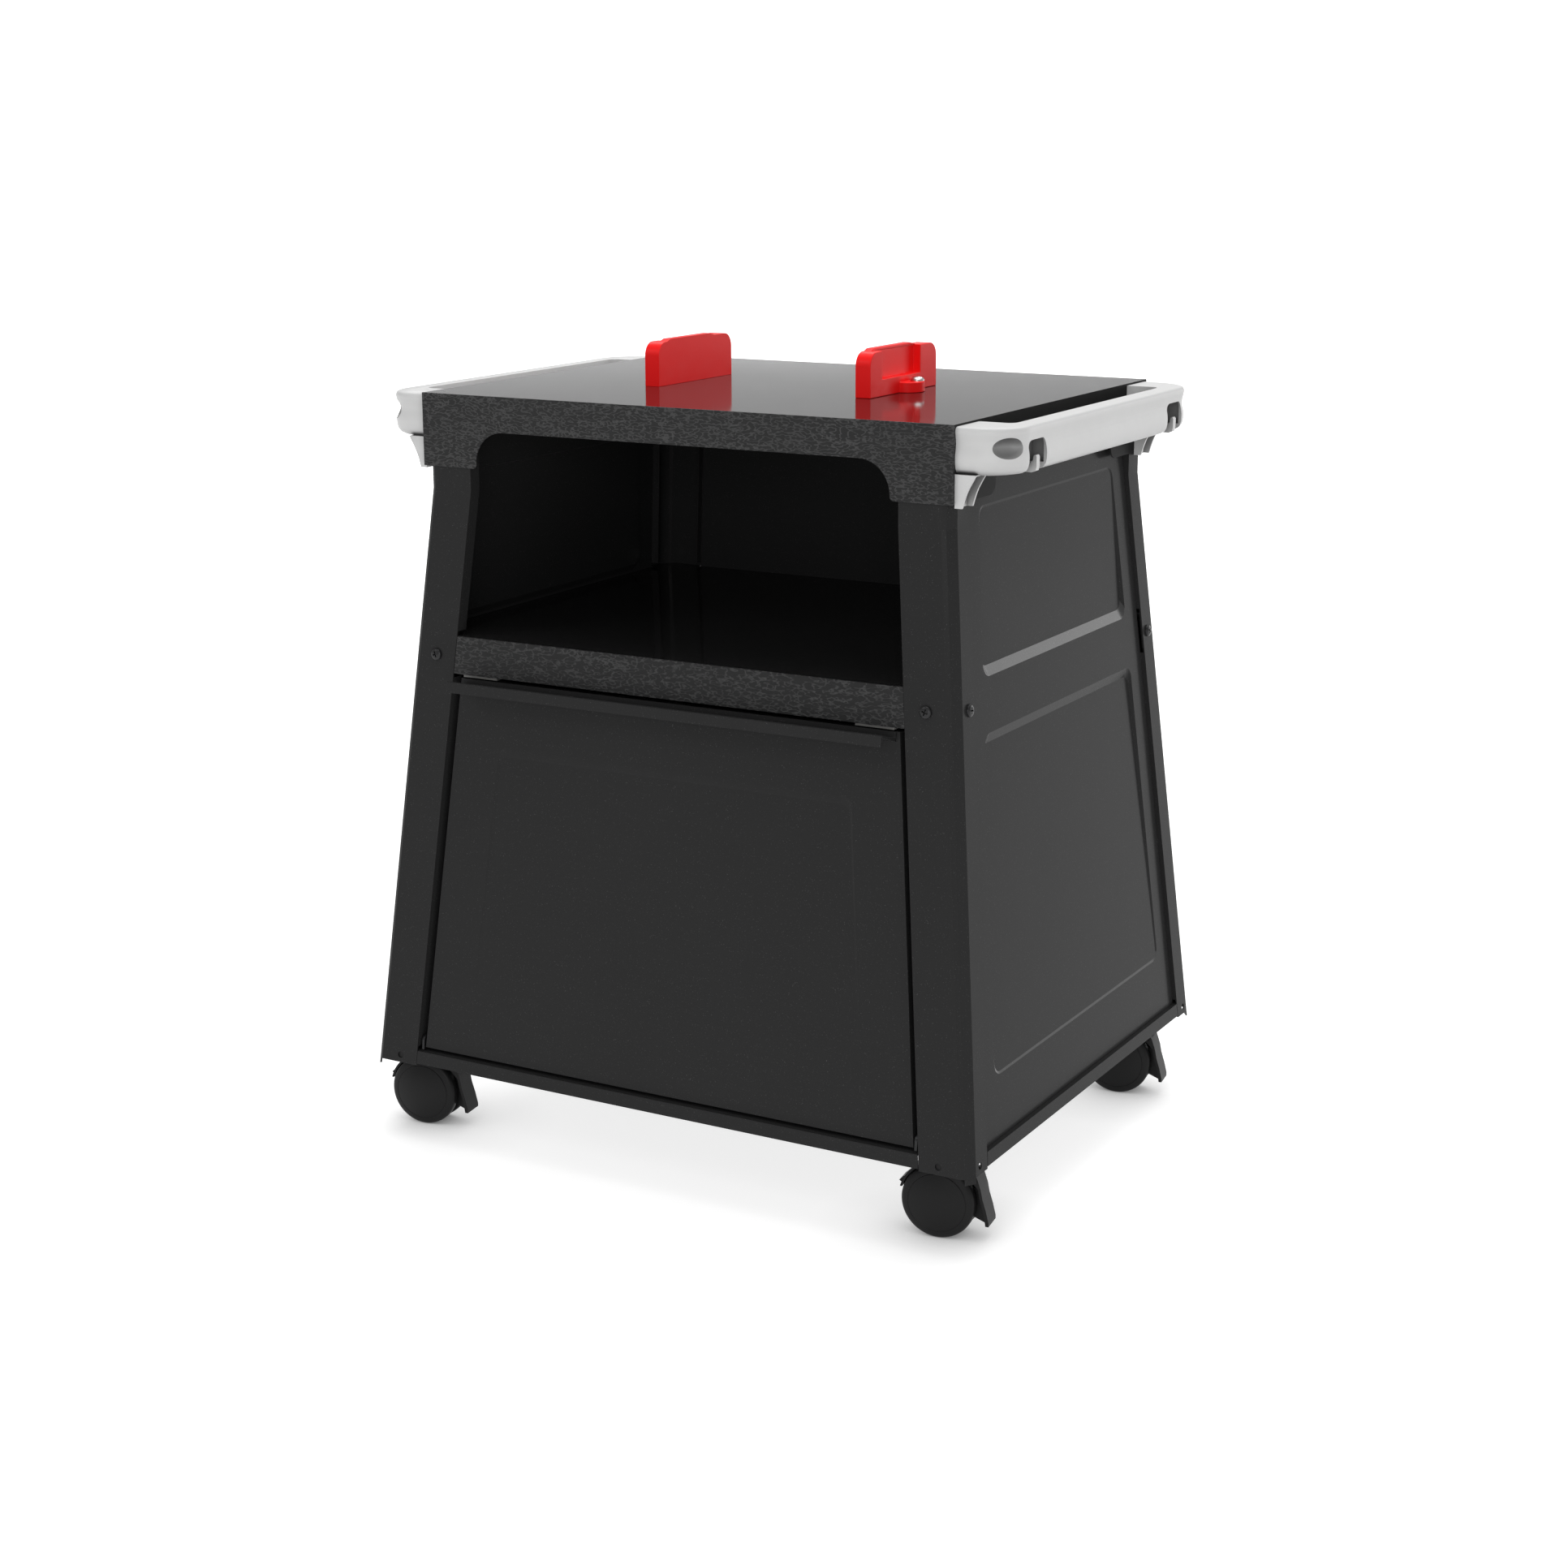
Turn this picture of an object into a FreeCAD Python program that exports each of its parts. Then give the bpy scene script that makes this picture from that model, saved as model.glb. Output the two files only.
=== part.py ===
import FreeCAD, Part
import math
import os
import re
import Sketcher

# Grill cart with storage: a sheet-metal table on four splayed legs, with an open
# upper compartment, a closed lower one behind a drop-down door, two moulded
# handles, two lock brackets on the top and four twin-wheel casters.
# Frame: +Z up, +X to the right seen from the front, +Y to the back, origin on the
# floor at the middle of the cart. Lengths are in millimetres.

# Driving sizes
SIZES = (
    ("cart_width", 600.0),
    ("cart_depth", 466.0),
    ("top_height", 793.0),
    ("gauge", 1.5),
    ("gap", 0.3),
    ("running_gap", 0.06),
    # Legs
    ("foot_rise", 10.0),
    ("knee_drop", 97.0),
    ("splay_angle", 5.22),
    ("leg_front", 55.0),
    ("leg_side", 38.0),
    ("leg_return", 15.0),
    ("corner_front", 10.5),
    ("corner_side", 12.4),
    ("facet_front", 6.5),
    ("facet_side", 2.2),
    ("foot_tongue", 6.0),
    ("foot_hole_front", 34.0),
    ("foot_hole_side", 22.0),
    ("foot_hole_radius", 3.5),
    ("foot_hole_rise", 8.0),
    ("screw_front", 32.0),
    ("screw_side", 26.0),
    ("screw_drop", 21.0),
    ("screw_radius", 2.5),
    ("screw_head", 6.2),
    ("screw_clearance", 0.5),
    ("notch_margin", 4.5),
    # Top and fascias
    ("fascia_height", 74.0),
    ("fascia_return", 5.0),
    ("fascia_low_return", 10.0),
    ("fascia_step", 43.0),
    ("arch_band", 36.0),
    ("arch_margin", 65.0),
    ("arch_radius", 33.0),
    ("arch_foot_radius", 4.0),
    ("skirt_height", 43.0),
    ("skirt_tab_length", 93.0),
    ("skirt_tab_radius", 12.0),
    # Handles
    ("handle_reach", 57.0),
    ("handle_slot", 36.0),
    ("handle_end", 4.0),
    ("handle_arm", 50.0),
    ("handle_corner", 41.0),
    ("slot_corner", 9.0),
    ("handle_drop", 2.0),
    ("handle_height", 45.0),
    ("handle_wall", 3.0),
    ("handle_edge", 6.0),
    ("gusset_height", 30.0),
    ("gusset_foot", 7.5),
    ("gusset_reach", 20.0),
    ("gusset_width", 26.0),
    ("gusset_curve", 30.0),
    ("gusset_screw_inset", 16.0),
    ("hook_inset", 8.5),
    ("hook_notch_width", 39.0),
    ("hook_notch_height", 31.0),
    ("hook_notch_radius", 8.0),
    ("hook_width", 7.0),
    ("hook_finger", 3.5),
    ("hook_web_height", 8.5),
    ("hook_finger_height", 17.0),
    ("dimple_angle", 38.7),
    ("dimple_depth", 4.5),
    ("dimple_half_width", 17.0),
    ("dimple_half_height", 9.5),
    ("dimple_rise", 26.5),
    # Panels
    ("panel_recess", 5.0),
    ("panel_drop", 41.0),
    ("field_margin", 69.0),
    ("field_corner", 13.0),
    ("field_depth", 4.0),
    ("field_shallow", 0.7),
    ("field_ledge", 10.0),
    ("field_flank", 2.5),
    ("upper_field_rise", 0.5),
    ("upper_field_drop", 84.0),
    ("lower_field_rise", 62.0),
    ("lower_field_drop", 53.0),
    # Shelf and tray
    ("shelf_height", 547.0),
    ("shelf_rail_height", 39.0),
    ("tray_rise", 16.0),
    ("tray_rail_height", 14.0),
    ("rail_end_gap", 1.0),
    ("floor_chamfer", 15.0),
    # Door
    ("door_side_gap", 7.5),
    ("door_depth", 12.0),
    ("door_rise", 4.0),
    ("door_top_gap", 4.5),
    ("door_field_margin", 117.0),
    ("door_field_rise", 53.0),
    ("door_field_drop", 66.5),
    ("pull_strip", 10.0),
    ("pull_reach", 28.0),
    ("pull_rise", 8.0),
    ("pull_hem", 10.0),
    ("pull_margin", 50.0),
    ("hinge_rise", 6.0),
    ("hinge_inset", 6.0),
    ("hinge_pin_radius", 3.0),
    ("hinge_bracket_gap", 2.0),
    ("hinge_bracket_width", 3.0),
    ("catch_margin", 72.0),
    ("catch_length", 42.0),
    ("catch_depth", 14.0),
    ("catch_thickness", 2.8),
    # Lock brackets
    ("lock_inner", 114.5),
    ("lock_thickness", 17.0),
    ("lock_front", 74.5),
    ("lock_rear", 72.5),
    ("lock_height", 45.0),
    ("lock_hump", 2.4),
    ("lock_radius", 14.0),
    ("lock_front_column", 17.0),
    ("lock_rear_column", 35.0),
    ("lock_recess_depth", 8.0),
    ("lock_recess_floor", 17.0),
    ("lock_hump_slope", 6.0),
    ("lock_boss_centre", 7.0),
    ("lock_boss_radius", 18.0),
    ("lock_boss_height", 10.5),
    ("lock_boss_reach", 17.5),
    ("lock_screw_out", 8.5),
    ("lock_screw_shift", 5.0),
    ("lock_screw_head", 7.2),
    ("lock_screw_dome", 4.6),
    # Casters
    ("caster_out", 11.0),
    ("caster_in", 7.0),
    ("caster_trail", 14.5),
    ("caster_turn", 8.0),
    ("wheel_radius", 37.5),
    ("wheel_gap", 7.3),
    ("wheel_tread", 8.0),
    ("wheel_dome", 9.0),
    ("wheel_shoulder_step", 4.0),
    ("axle_radius", 3.0),
    ("hood_half_width", 6.8),
    ("hood_nose", 4.5),
    ("fender_gap", 1.1),
    ("fender_thickness", 2.2),
    ("fender_half_width", 15.0),
    ("stem_radius", 4.0),
    ("stem_inset", 3.0),
    ("stem_rise", 22.5),
    ("hood_drop", 3.0),
    ("socket_radius", 9.0),
    ("brake_pivot_out", 6.5),
    ("brake_pivot_angle", 40.0),
    ("brake_pin_radius", 2.0),
    ("brake_ear", 4.6),
    ("brake_half_width", 12.0),
    ("brake_rib", 5.0),
)
ALIASES = {name for name, value in SIZES}

# Places that follow from the sizes above, so that pieces stay together when one changes
FOLLOWS = {
    "wheel_shoulder": "(wheel_radius - wheel_shoulder_step)",
    "foot_height": "(2 * wheel_radius + foot_rise)",
    "tray_height": "(foot_height + tray_rise)",
    "knee_height": "(top_height - knee_drop)",
    "panel_top": "(top_height - panel_drop)",
    "screw_height": "(shelf_height - screw_drop)",
    "arch_half_width": "(cart_width / 2 - arch_margin)",
    "skirt_tab_start": "(cart_depth / 2 - skirt_tab_length)",
    "handle_half_length": "(cart_depth / 2 - handle_end)",
    "slot_half_length": "(handle_half_length - handle_arm)",
    "handle_high": "(top_height - handle_drop)",
    "handle_low": "(handle_high - handle_height)",
    "gusset_low": "(handle_low - gusset_height)",
    "gusset_inner": "(handle_half_length - gusset_width)",
    "gusset_screw": "(handle_half_length - gusset_screw_inset)",
    "hook_centre": "(slot_half_length - hook_inset)",
    "hook_notch_top": "(handle_low + hook_notch_height)",
    "dimple_height": "(handle_low + dimple_rise)",
    "upper_field_low": "(shelf_height + upper_field_rise)",
    "upper_field_high": "(top_height - upper_field_drop)",
    "lower_field_low": "(tray_height + lower_field_rise)",
    "lower_field_high": "(shelf_height - lower_field_drop)",
    "door_low": "(tray_height + door_rise)",
    "door_high": "(shelf_height - shelf_rail_height - door_top_gap)",
    "door_field_low": "(door_low + door_field_rise)",
    "door_field_high": "(door_high - door_field_drop)",
    "pull_root": "(door_high - pull_strip)",
    "pull_half_length": "(cart_width / 2 - pull_margin)",
    "hinge_height": "(door_low + hinge_rise)",
    "catch_centre": "(cart_width / 2 - catch_margin)",
    "caster_x": "(cart_width / 2 + caster_out)",
    "caster_y": "(cart_depth / 2 - caster_in)",
    "stem_top": "(tray_height - stem_inset)",
    "stem_bottom": "(wheel_radius + stem_rise)",
    "hood_top": "(foot_height - hood_drop)",
}

document = FreeCAD.newDocument("grill_cart")
sheet = document.addObject("Spreadsheet::Sheet", "Sizes")
for row, (name, value) in enumerate(SIZES, start=1):
    sheet.set("A%d" % row, name)
    sheet.set("B%d" % row, str(value))
    sheet.setAlias("B%d" % row, name)
document.recompute()

TAN = "tan(splay_angle * 1 deg)"
SIN = "sin(splay_angle * 1 deg)"
COS = "cos(splay_angle * 1 deg)"
nodes = []


# Expressions
def spell(word):
    """A word of an expression as the sheet knows it: a size, a place that follows, or neither."""
    name = word.group(0)
    if name in FOLLOWS:
        return bound(FOLLOWS[name])
    return "Sizes." + name if name in ALIASES else name


def bound(text):
    """The expression with its places spelled out and the sheet's name before each size."""
    return re.sub(r"[a-z][a-z_]*", spell, str(text))


def value(text):
    """The number that an expression has with the present sizes."""
    result = sheet.evalExpression(bound(text))
    return float(getattr(result, "Value", result))


def reach_x(height):
    """Half the cart's width over the legs at a height below the knee."""
    return "(cart_width / 2 - gauge + %s * (knee_height - (%s)))" % (TAN, height)


def reach_y(height):
    """Half the cart's depth over the legs at a height below the knee."""
    return "(cart_depth / 2 - gauge + %s * (knee_height - (%s)))" % (TAN, height)


def slope(height):
    """How far along a splayed panel a height lies from the knee."""
    return "(((%s) - knee_height) / %s)" % (height, COS)


# Sketches and features
def new_body(label):
    body = document.addObject("PartDesign::Body", label)
    body.Label = label
    return body


def keep(thing, label):
    """Take a finished object as one of the cart's pieces."""
    thing.Label = label
    nodes.append(thing)
    return thing


def place(thing, base, axis=(0, 0, 1), angle="0"):
    """Bind an object's place, and its turn about one axis, to the sheet."""
    thing.Placement = FreeCAD.Placement(FreeCAD.Vector(0, 0, 0), FreeCAD.Rotation(FreeCAD.Vector(*axis), 10))
    for letter, text in zip("xyz", base):
        thing.setExpression("Placement.Base." + letter, bound(text))
    thing.setExpression("Placement.Rotation.Angle", bound(angle))


def new_sketch(body, plane, level, tilt=None):
    """A sketch on one of the body's own planes, level measured along the world's axis."""
    sketch = body.newObject("Sketcher::SketchObject", "outline")
    role = [f for f in body.Origin.OriginFeatures if f.Role == plane + "_Plane"][0]
    sketch.AttachmentSupport = [(role, "")]
    sketch.MapMode = "FlatFace"
    if tilt:
        sketch.AttachmentOffset = FreeCAD.Placement(
            FreeCAD.Vector(0, 0, 0), FreeCAD.Rotation(FreeCAD.Vector(*tilt[0]), 10)
        )
        sketch.setExpression("AttachmentOffset.Rotation.Angle", bound(tilt[1]))
        sketch.setExpression("AttachmentOffset.Base.y", bound(tilt[2]))
    sign = "-" if plane == "XZ" else ""
    sketch.setExpression("AttachmentOffset.Base.z", bound("%s(%s)" % (sign, level)))
    return sketch


def hold(sketch, rules, sizes):
    """Add constraints in one go, then bind the ones that have a size."""
    indices = sketch.addConstraint(rules)
    for index, text in zip(indices, sizes):
        if text is not None:
            sketch.setExpression("Constraints[%d]" % index, bound(text))


def point_rules(edge, end, point):
    """Rules that hold a point of the sketch at two distances from the origin."""
    rules = [
        Sketcher.Constraint(kind, -1, 1, edge, end, value(text))
        for kind, text in zip(("DistanceX", "DistanceY"), point)
    ]
    return rules, list(point)


def draw_polygon(sketch, points, construction=False):
    """Closed polygon through bound points; gives the index of its first line."""
    spots = [FreeCAD.Vector(value(x), value(y), 0) for x, y in points]
    count = len(spots)
    first = sketch.GeometryCount
    lines = [Part.LineSegment(spots[i], spots[(i + 1) % count]) for i in range(count)]
    sketch.addGeometry(lines, construction)
    rules = [
        Sketcher.Constraint("Coincident", first + i, 2, first + (i + 1) % count, 1) for i in range(count)
    ]
    sizes = [None] * count
    for i, point in enumerate(points):
        more_rules, more_sizes = point_rules(first + i, 1, point)
        rules += more_rules
        sizes += more_sizes
    hold(sketch, rules, sizes)
    return first


def corner_arc(before, spot, after, radius):
    """The arc that rounds a corner, from the incoming side to the outgoing one."""
    back = (before - spot).normalize()
    ahead = (after - spot).normalize()
    half = back.getAngle(ahead) / 2
    run = radius / math.tan(half)
    inward = (back + ahead).normalize()
    middle = spot + inward * (radius / math.sin(half) - radius)
    return spot + back * run, middle, spot + ahead * run


def draw_rounded(sketch, points, radii):
    """Closed outline whose corners are arcs, on a construction polygon with sharp ones."""
    guide = draw_polygon(sketch, points, True)
    spots = [FreeCAD.Vector(value(x), value(y), 0) for x, y in points]
    count = len(spots)
    corners = []
    for i in range(count):
        if radii[i]:
            corners.append(corner_arc(spots[i - 1], spots[i], spots[(i + 1) % count], value(radii[i])))
        else:
            corners.append((spots[i], None, spots[i]))
    first = sketch.GeometryCount
    sketch.addGeometry([Part.LineSegment(corners[i][2], corners[(i + 1) % count][0]) for i in range(count)])
    rules, sizes = [], []
    for i in range(count):
        if radii[i]:
            rules.append(Sketcher.Constraint("PointOnObject", first + i, 1, guide + i))
            sizes.append(None)
        if radii[(i + 1) % count]:
            rules.append(Sketcher.Constraint("PointOnObject", first + i, 2, guide + i))
            sizes.append(None)
    for i in range(count):
        previous, line = first + (i - 1) % count, first + i
        start, middle, finish = corners[i]
        if middle is None:
            rules.append(Sketcher.Constraint("Coincident", previous, 2, guide + i, 1))
            rules.append(Sketcher.Constraint("Coincident", line, 1, guide + i, 1))
            sizes += [None, None]
            continue
        leftward = (middle - start).cross(finish - middle).z > 0
        head, tail = (1, 2) if leftward else (2, 1)
        ends = (start, finish) if leftward else (finish, start)
        arc = sketch.addGeometry(Part.Arc(ends[0], middle, ends[1]))
        rules.append(Sketcher.Constraint("Tangent", previous, 2, arc, head))
        rules.append(Sketcher.Constraint("Tangent", arc, tail, line, 1))
        rules.append(Sketcher.Constraint("Radius", arc, value(radii[i])))
        sizes += [None, None, radii[i]]
    hold(sketch, rules, sizes)


def draw_circle(sketch, centre, radius):
    spot = FreeCAD.Vector(value(centre[0]), value(centre[1]), 0)
    edge = sketch.addGeometry(Part.Circle(spot, FreeCAD.Vector(0, 0, 1), value(radius)))
    rules, sizes = point_rules(edge, 3, centre)
    hold(sketch, rules + [Sketcher.Constraint("Radius", edge, value(radius))], sizes + [radius])


def push(body, plane, sketch, length, cut):
    """Pad or pocket a sketch towards the world axis's positive side."""
    kind = "PartDesign::Pocket" if cut else "PartDesign::Pad"
    feature = body.newObject(kind, "pocket" if cut else "pad")
    feature.Profile = sketch
    feature.setExpression("Length", bound(length))
    feature.Reversed = (plane == "XZ") != cut
    return feature


def block(body, plane, points, level, length, cut=False, radii=None):
    """Prism on an outline, from level over length along the plane's world axis."""
    sketch = new_sketch(body, plane, level)
    if radii:
        draw_rounded(sketch, points, radii)
    else:
        draw_polygon(sketch, points)
    return push(body, plane, sketch, length, cut)


def rod(body, plane, centre, radius, level, length, cut=False):
    """Round prism, from level over length along the plane's world axis."""
    sketch = new_sketch(body, plane, level)
    draw_circle(sketch, centre, radius)
    return push(body, plane, sketch, length, cut)


def rectangle(low_x, low_y, high_x, high_y):
    return [(low_x, low_y), (high_x, low_y), (high_x, high_y), (low_x, high_y)]


def loft(sketches, body, cut):
    """Straight-sided solid, or cut, through sketches."""
    kind = "PartDesign::SubtractiveLoft" if cut else "PartDesign::AdditiveLoft"
    feature = body.newObject(kind, "loft")
    feature.Profile = sketches[0]
    feature.Sections = sketches[1:]
    feature.Ruled = True
    return feature


def leaning(body, outline_at, levels, cut=False):
    """Solid between the outlines that a function gives at rising heights."""
    sketches = []
    for level in levels:
        sketch = new_sketch(body, "XY", level)
        draw_polygon(sketch, outline_at(level))
        sketches.append(sketch)
    return loft(sketches, body, cut)


def round_edges(body, radius, wanted):
    """Fillet the edges of the body's last feature for which wanted(edge) is true."""
    document.recompute()
    base = body.Tip
    names = ["Edge%d" % (i + 1) for i, edge in enumerate(base.Shape.Edges) if wanted(edge)]
    feature = body.newObject("PartDesign::Fillet", "fillet")
    feature.Base = (base, names)
    feature.setExpression("Radius", bound(radius))
    return feature


def span(edge):
    return edge.BoundBox


def turned(body, points, plane="XZ"):
    """Solid of revolution about the upright axis of one of the body's planes."""
    sketch = new_sketch(body, plane, "0")
    draw_polygon(sketch, points)
    feature = body.newObject("PartDesign::Revolution", "turned")
    feature.Profile = sketch
    feature.ReferenceAxis = (sketch, ["V_Axis"])
    feature.Angle = 360
    return feature


def group(label, things):
    """Several separate solids kept under one name."""
    result = document.addObject("Part::Compound", label)
    result.Links = things
    return keep(result, label)


# Legs
def leg_point(side, end, height, along, inward):
    """A point of a leg's section: along from its corner in X, inward in Y."""
    return (
        "%d * (%s - (%s))" % (side, reach_x(height), along),
        "%d * (%s - (%s))" % (end, reach_y(height), inward),
    )


LEG_SECTION = (
    ("leg_front", "leg_return"),
    ("leg_front", "0"),
    ("corner_front", "0"),
    ("facet_front", "facet_side"),
    ("0", "corner_side"),
    ("0", "leg_side"),
    ("leg_return", "leg_side"),
    ("leg_return", "leg_side - gauge"),
    ("gauge", "leg_side - gauge"),
    ("gauge", "corner_side + gauge / 4"),
    ("facet_front + gauge * 0.7", "facet_side + gauge * 0.7"),
    ("corner_front + gauge / 4", "gauge"),
    ("leg_front - gauge", "gauge"),
    ("leg_front - gauge", "leg_return"),
)


def make_leg(label, side, end):
    body = new_body(label)

    def lean(level):
        return level if level == "foot_height" else "knee_height"

    def section(level):
        return [leg_point(side, end, lean(level), a, b) for a, b in LEG_SECTION]

    leaning(body, section, ("foot_height", "knee_height", "top_height - gauge"))

    def tongue(level):
        corners = (("facet_front", "facet_side"), ("0", "corner_side"),
                   ("gauge", "corner_side"), ("facet_front + gauge", "facet_side + gauge"))
        return [leg_point(side, end, level, a, b) for a, b in corners]

    leaning(body, tongue, ("foot_height - foot_tongue", "foot_height + 1"))

    def front_notch(level):
        corners = (("leg_front - gauge * 1.5", "gauge"), ("leg_front + 2", "gauge"),
                   ("leg_front + 2", "leg_return + 2"), ("leg_front - gauge * 1.5", "leg_return + 2"))
        return [leg_point(side, end, level, a, b) for a, b in corners]

    def side_notch(level):
        corners = (("gauge", "leg_side - gauge * 1.5"), ("gauge", "leg_side + 2"),
                   ("leg_return + 2", "leg_side + 2"), ("leg_return + 2", "leg_side - gauge * 1.5"))
        return [leg_point(side, end, level, a, b) for a, b in corners]

    shelf = ("shelf_height - shelf_rail_height - notch_margin", "shelf_height + notch_margin")
    tray = ("foot_height - 2", "tray_height + notch_margin")
    for notch in (front_notch, side_notch):
        for levels in (shelf, tray):
            leaning(body, notch, levels, cut=True)

    def drill(height, front_along, side_inward, radius):
        x, y = leg_point(side, end, height, front_along, "4")
        rod(body, "XZ", (x, height), radius, "%s - 6" % y, "12", cut=True)
        x, y = leg_point(side, end, height, "4", side_inward)
        rod(body, "YZ", (y, height), radius, "%s - 6" % x, "12", cut=True)

    drill("foot_height + foot_hole_rise", "foot_hole_front", "foot_hole_side", "foot_hole_radius")
    drill("screw_height", "screw_front", "screw_side", "screw_radius + screw_clearance")
    x = "%d * (cart_width / 2 - gauge)" % side
    rod(body, "YZ", ("%d * gusset_screw" % end, "gusset_low + 7"), "screw_radius + screw_clearance",
        x + " - 6", "12", cut=True)
    keep(body, label)


# Top, fascias
def make_top():
    body = new_body("top_panel")
    half_x = "cart_width / 2"
    half_y = "(cart_depth / 2 - gauge)"
    block(body, "XY", rectangle("-" + half_x, "-" + half_y, half_x, half_y), "top_height - gauge", "gauge")
    end = "(cart_depth / 2 - fascia_low_return - gap)"
    high = "top_height - gauge"
    shallow = "top_height - skirt_height"
    low = "top_height - fascia_height"
    outline = [
        ("-" + end, high), ("-" + end, low), ("-skirt_tab_start", low), ("-skirt_tab_start", shallow),
        ("skirt_tab_start", shallow), ("skirt_tab_start", low), (end, low), (end, high),
    ]
    round_low = [None, None, "skirt_tab_radius", None, None, "skirt_tab_radius", None, None]
    for start in ("-cart_width / 2", "cart_width / 2 - gauge"):
        block(body, "YZ", outline, start, "gauge", radii=round_low)
    for side in (-1, 1):
        for end_sign in (-1, 1):
            rod(body, "YZ", ("%d * gusset_screw" % end_sign, "gusset_low + 7"),
                "screw_radius + running_gap", "%d * cart_width / 2 - 3" % side, "6", cut=True)
    keep(body, "top_panel")


def make_fascia(label, end, arched):
    """Upright sheet under the top's edge, with returns round the corners."""
    body = new_body(label)
    low = "(top_height - fascia_height)"
    half = "cart_width / 2"
    outer = "%d * cart_depth / 2" % end
    start = outer if end < 0 else outer + " - gauge"
    if arched:
        rise = "(top_height - arch_band)"
        outline = [("-" + half, low), ("-arch_half_width", low), ("-arch_half_width", rise),
                   ("arch_half_width", rise), ("arch_half_width", low), (half, low),
                   (half, "top_height"), ("-" + half, "top_height")]
        turns = ["arch_foot_radius", "arch_radius", "arch_radius", "arch_foot_radius"]
        radii = [None] + turns + [None, None, None]
        block(body, "XZ", outline, start, "gauge", radii=radii)
    else:
        block(body, "XZ", rectangle("-" + half, low, half, "top_height"), start, "gauge")
    inner = "%d * (cart_depth / 2 - gauge)" % end
    deep = "%d * (cart_depth / 2 - fascia_low_return)" % end
    shallow = "%d * (cart_depth / 2 - fascia_return)" % end
    step = "(top_height - fascia_step)"
    top = "top_height - gauge"
    outline = [(inner, low), (deep, low), (deep, step), (shallow, step), (shallow, top), (inner, top)]
    for level in ("-cart_width / 2", "cart_width / 2 - gauge"):
        block(body, "YZ", outline, level, "gauge")
    keep(body, label)


# Handles
def corner_recess(body, side, end, outer):
    """Oval hollow in a handle's rounded corner."""
    recess = body.newObject("PartDesign::SubtractiveEllipsoid", "recess")
    recess.setExpression("Radius1", bound("dimple_half_height"))
    recess.setExpression("Radius2", bound("dimple_depth + 2"))
    recess.setExpression("Radius3", bound("dimple_half_width"))
    angle = "(%d * dimple_angle * 1 deg)" % (end * side)
    out = "(handle_corner + 2)"
    x = "%d * (%s - handle_corner + %s * cos%s)" % (side, outer, out, angle)
    y = "%d * (handle_half_length - handle_corner) + %d * %s * sin%s" % (end, side, out, angle)
    place(recess, (x, y, "dimple_height"), (0, 0, 1), angle)


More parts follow.
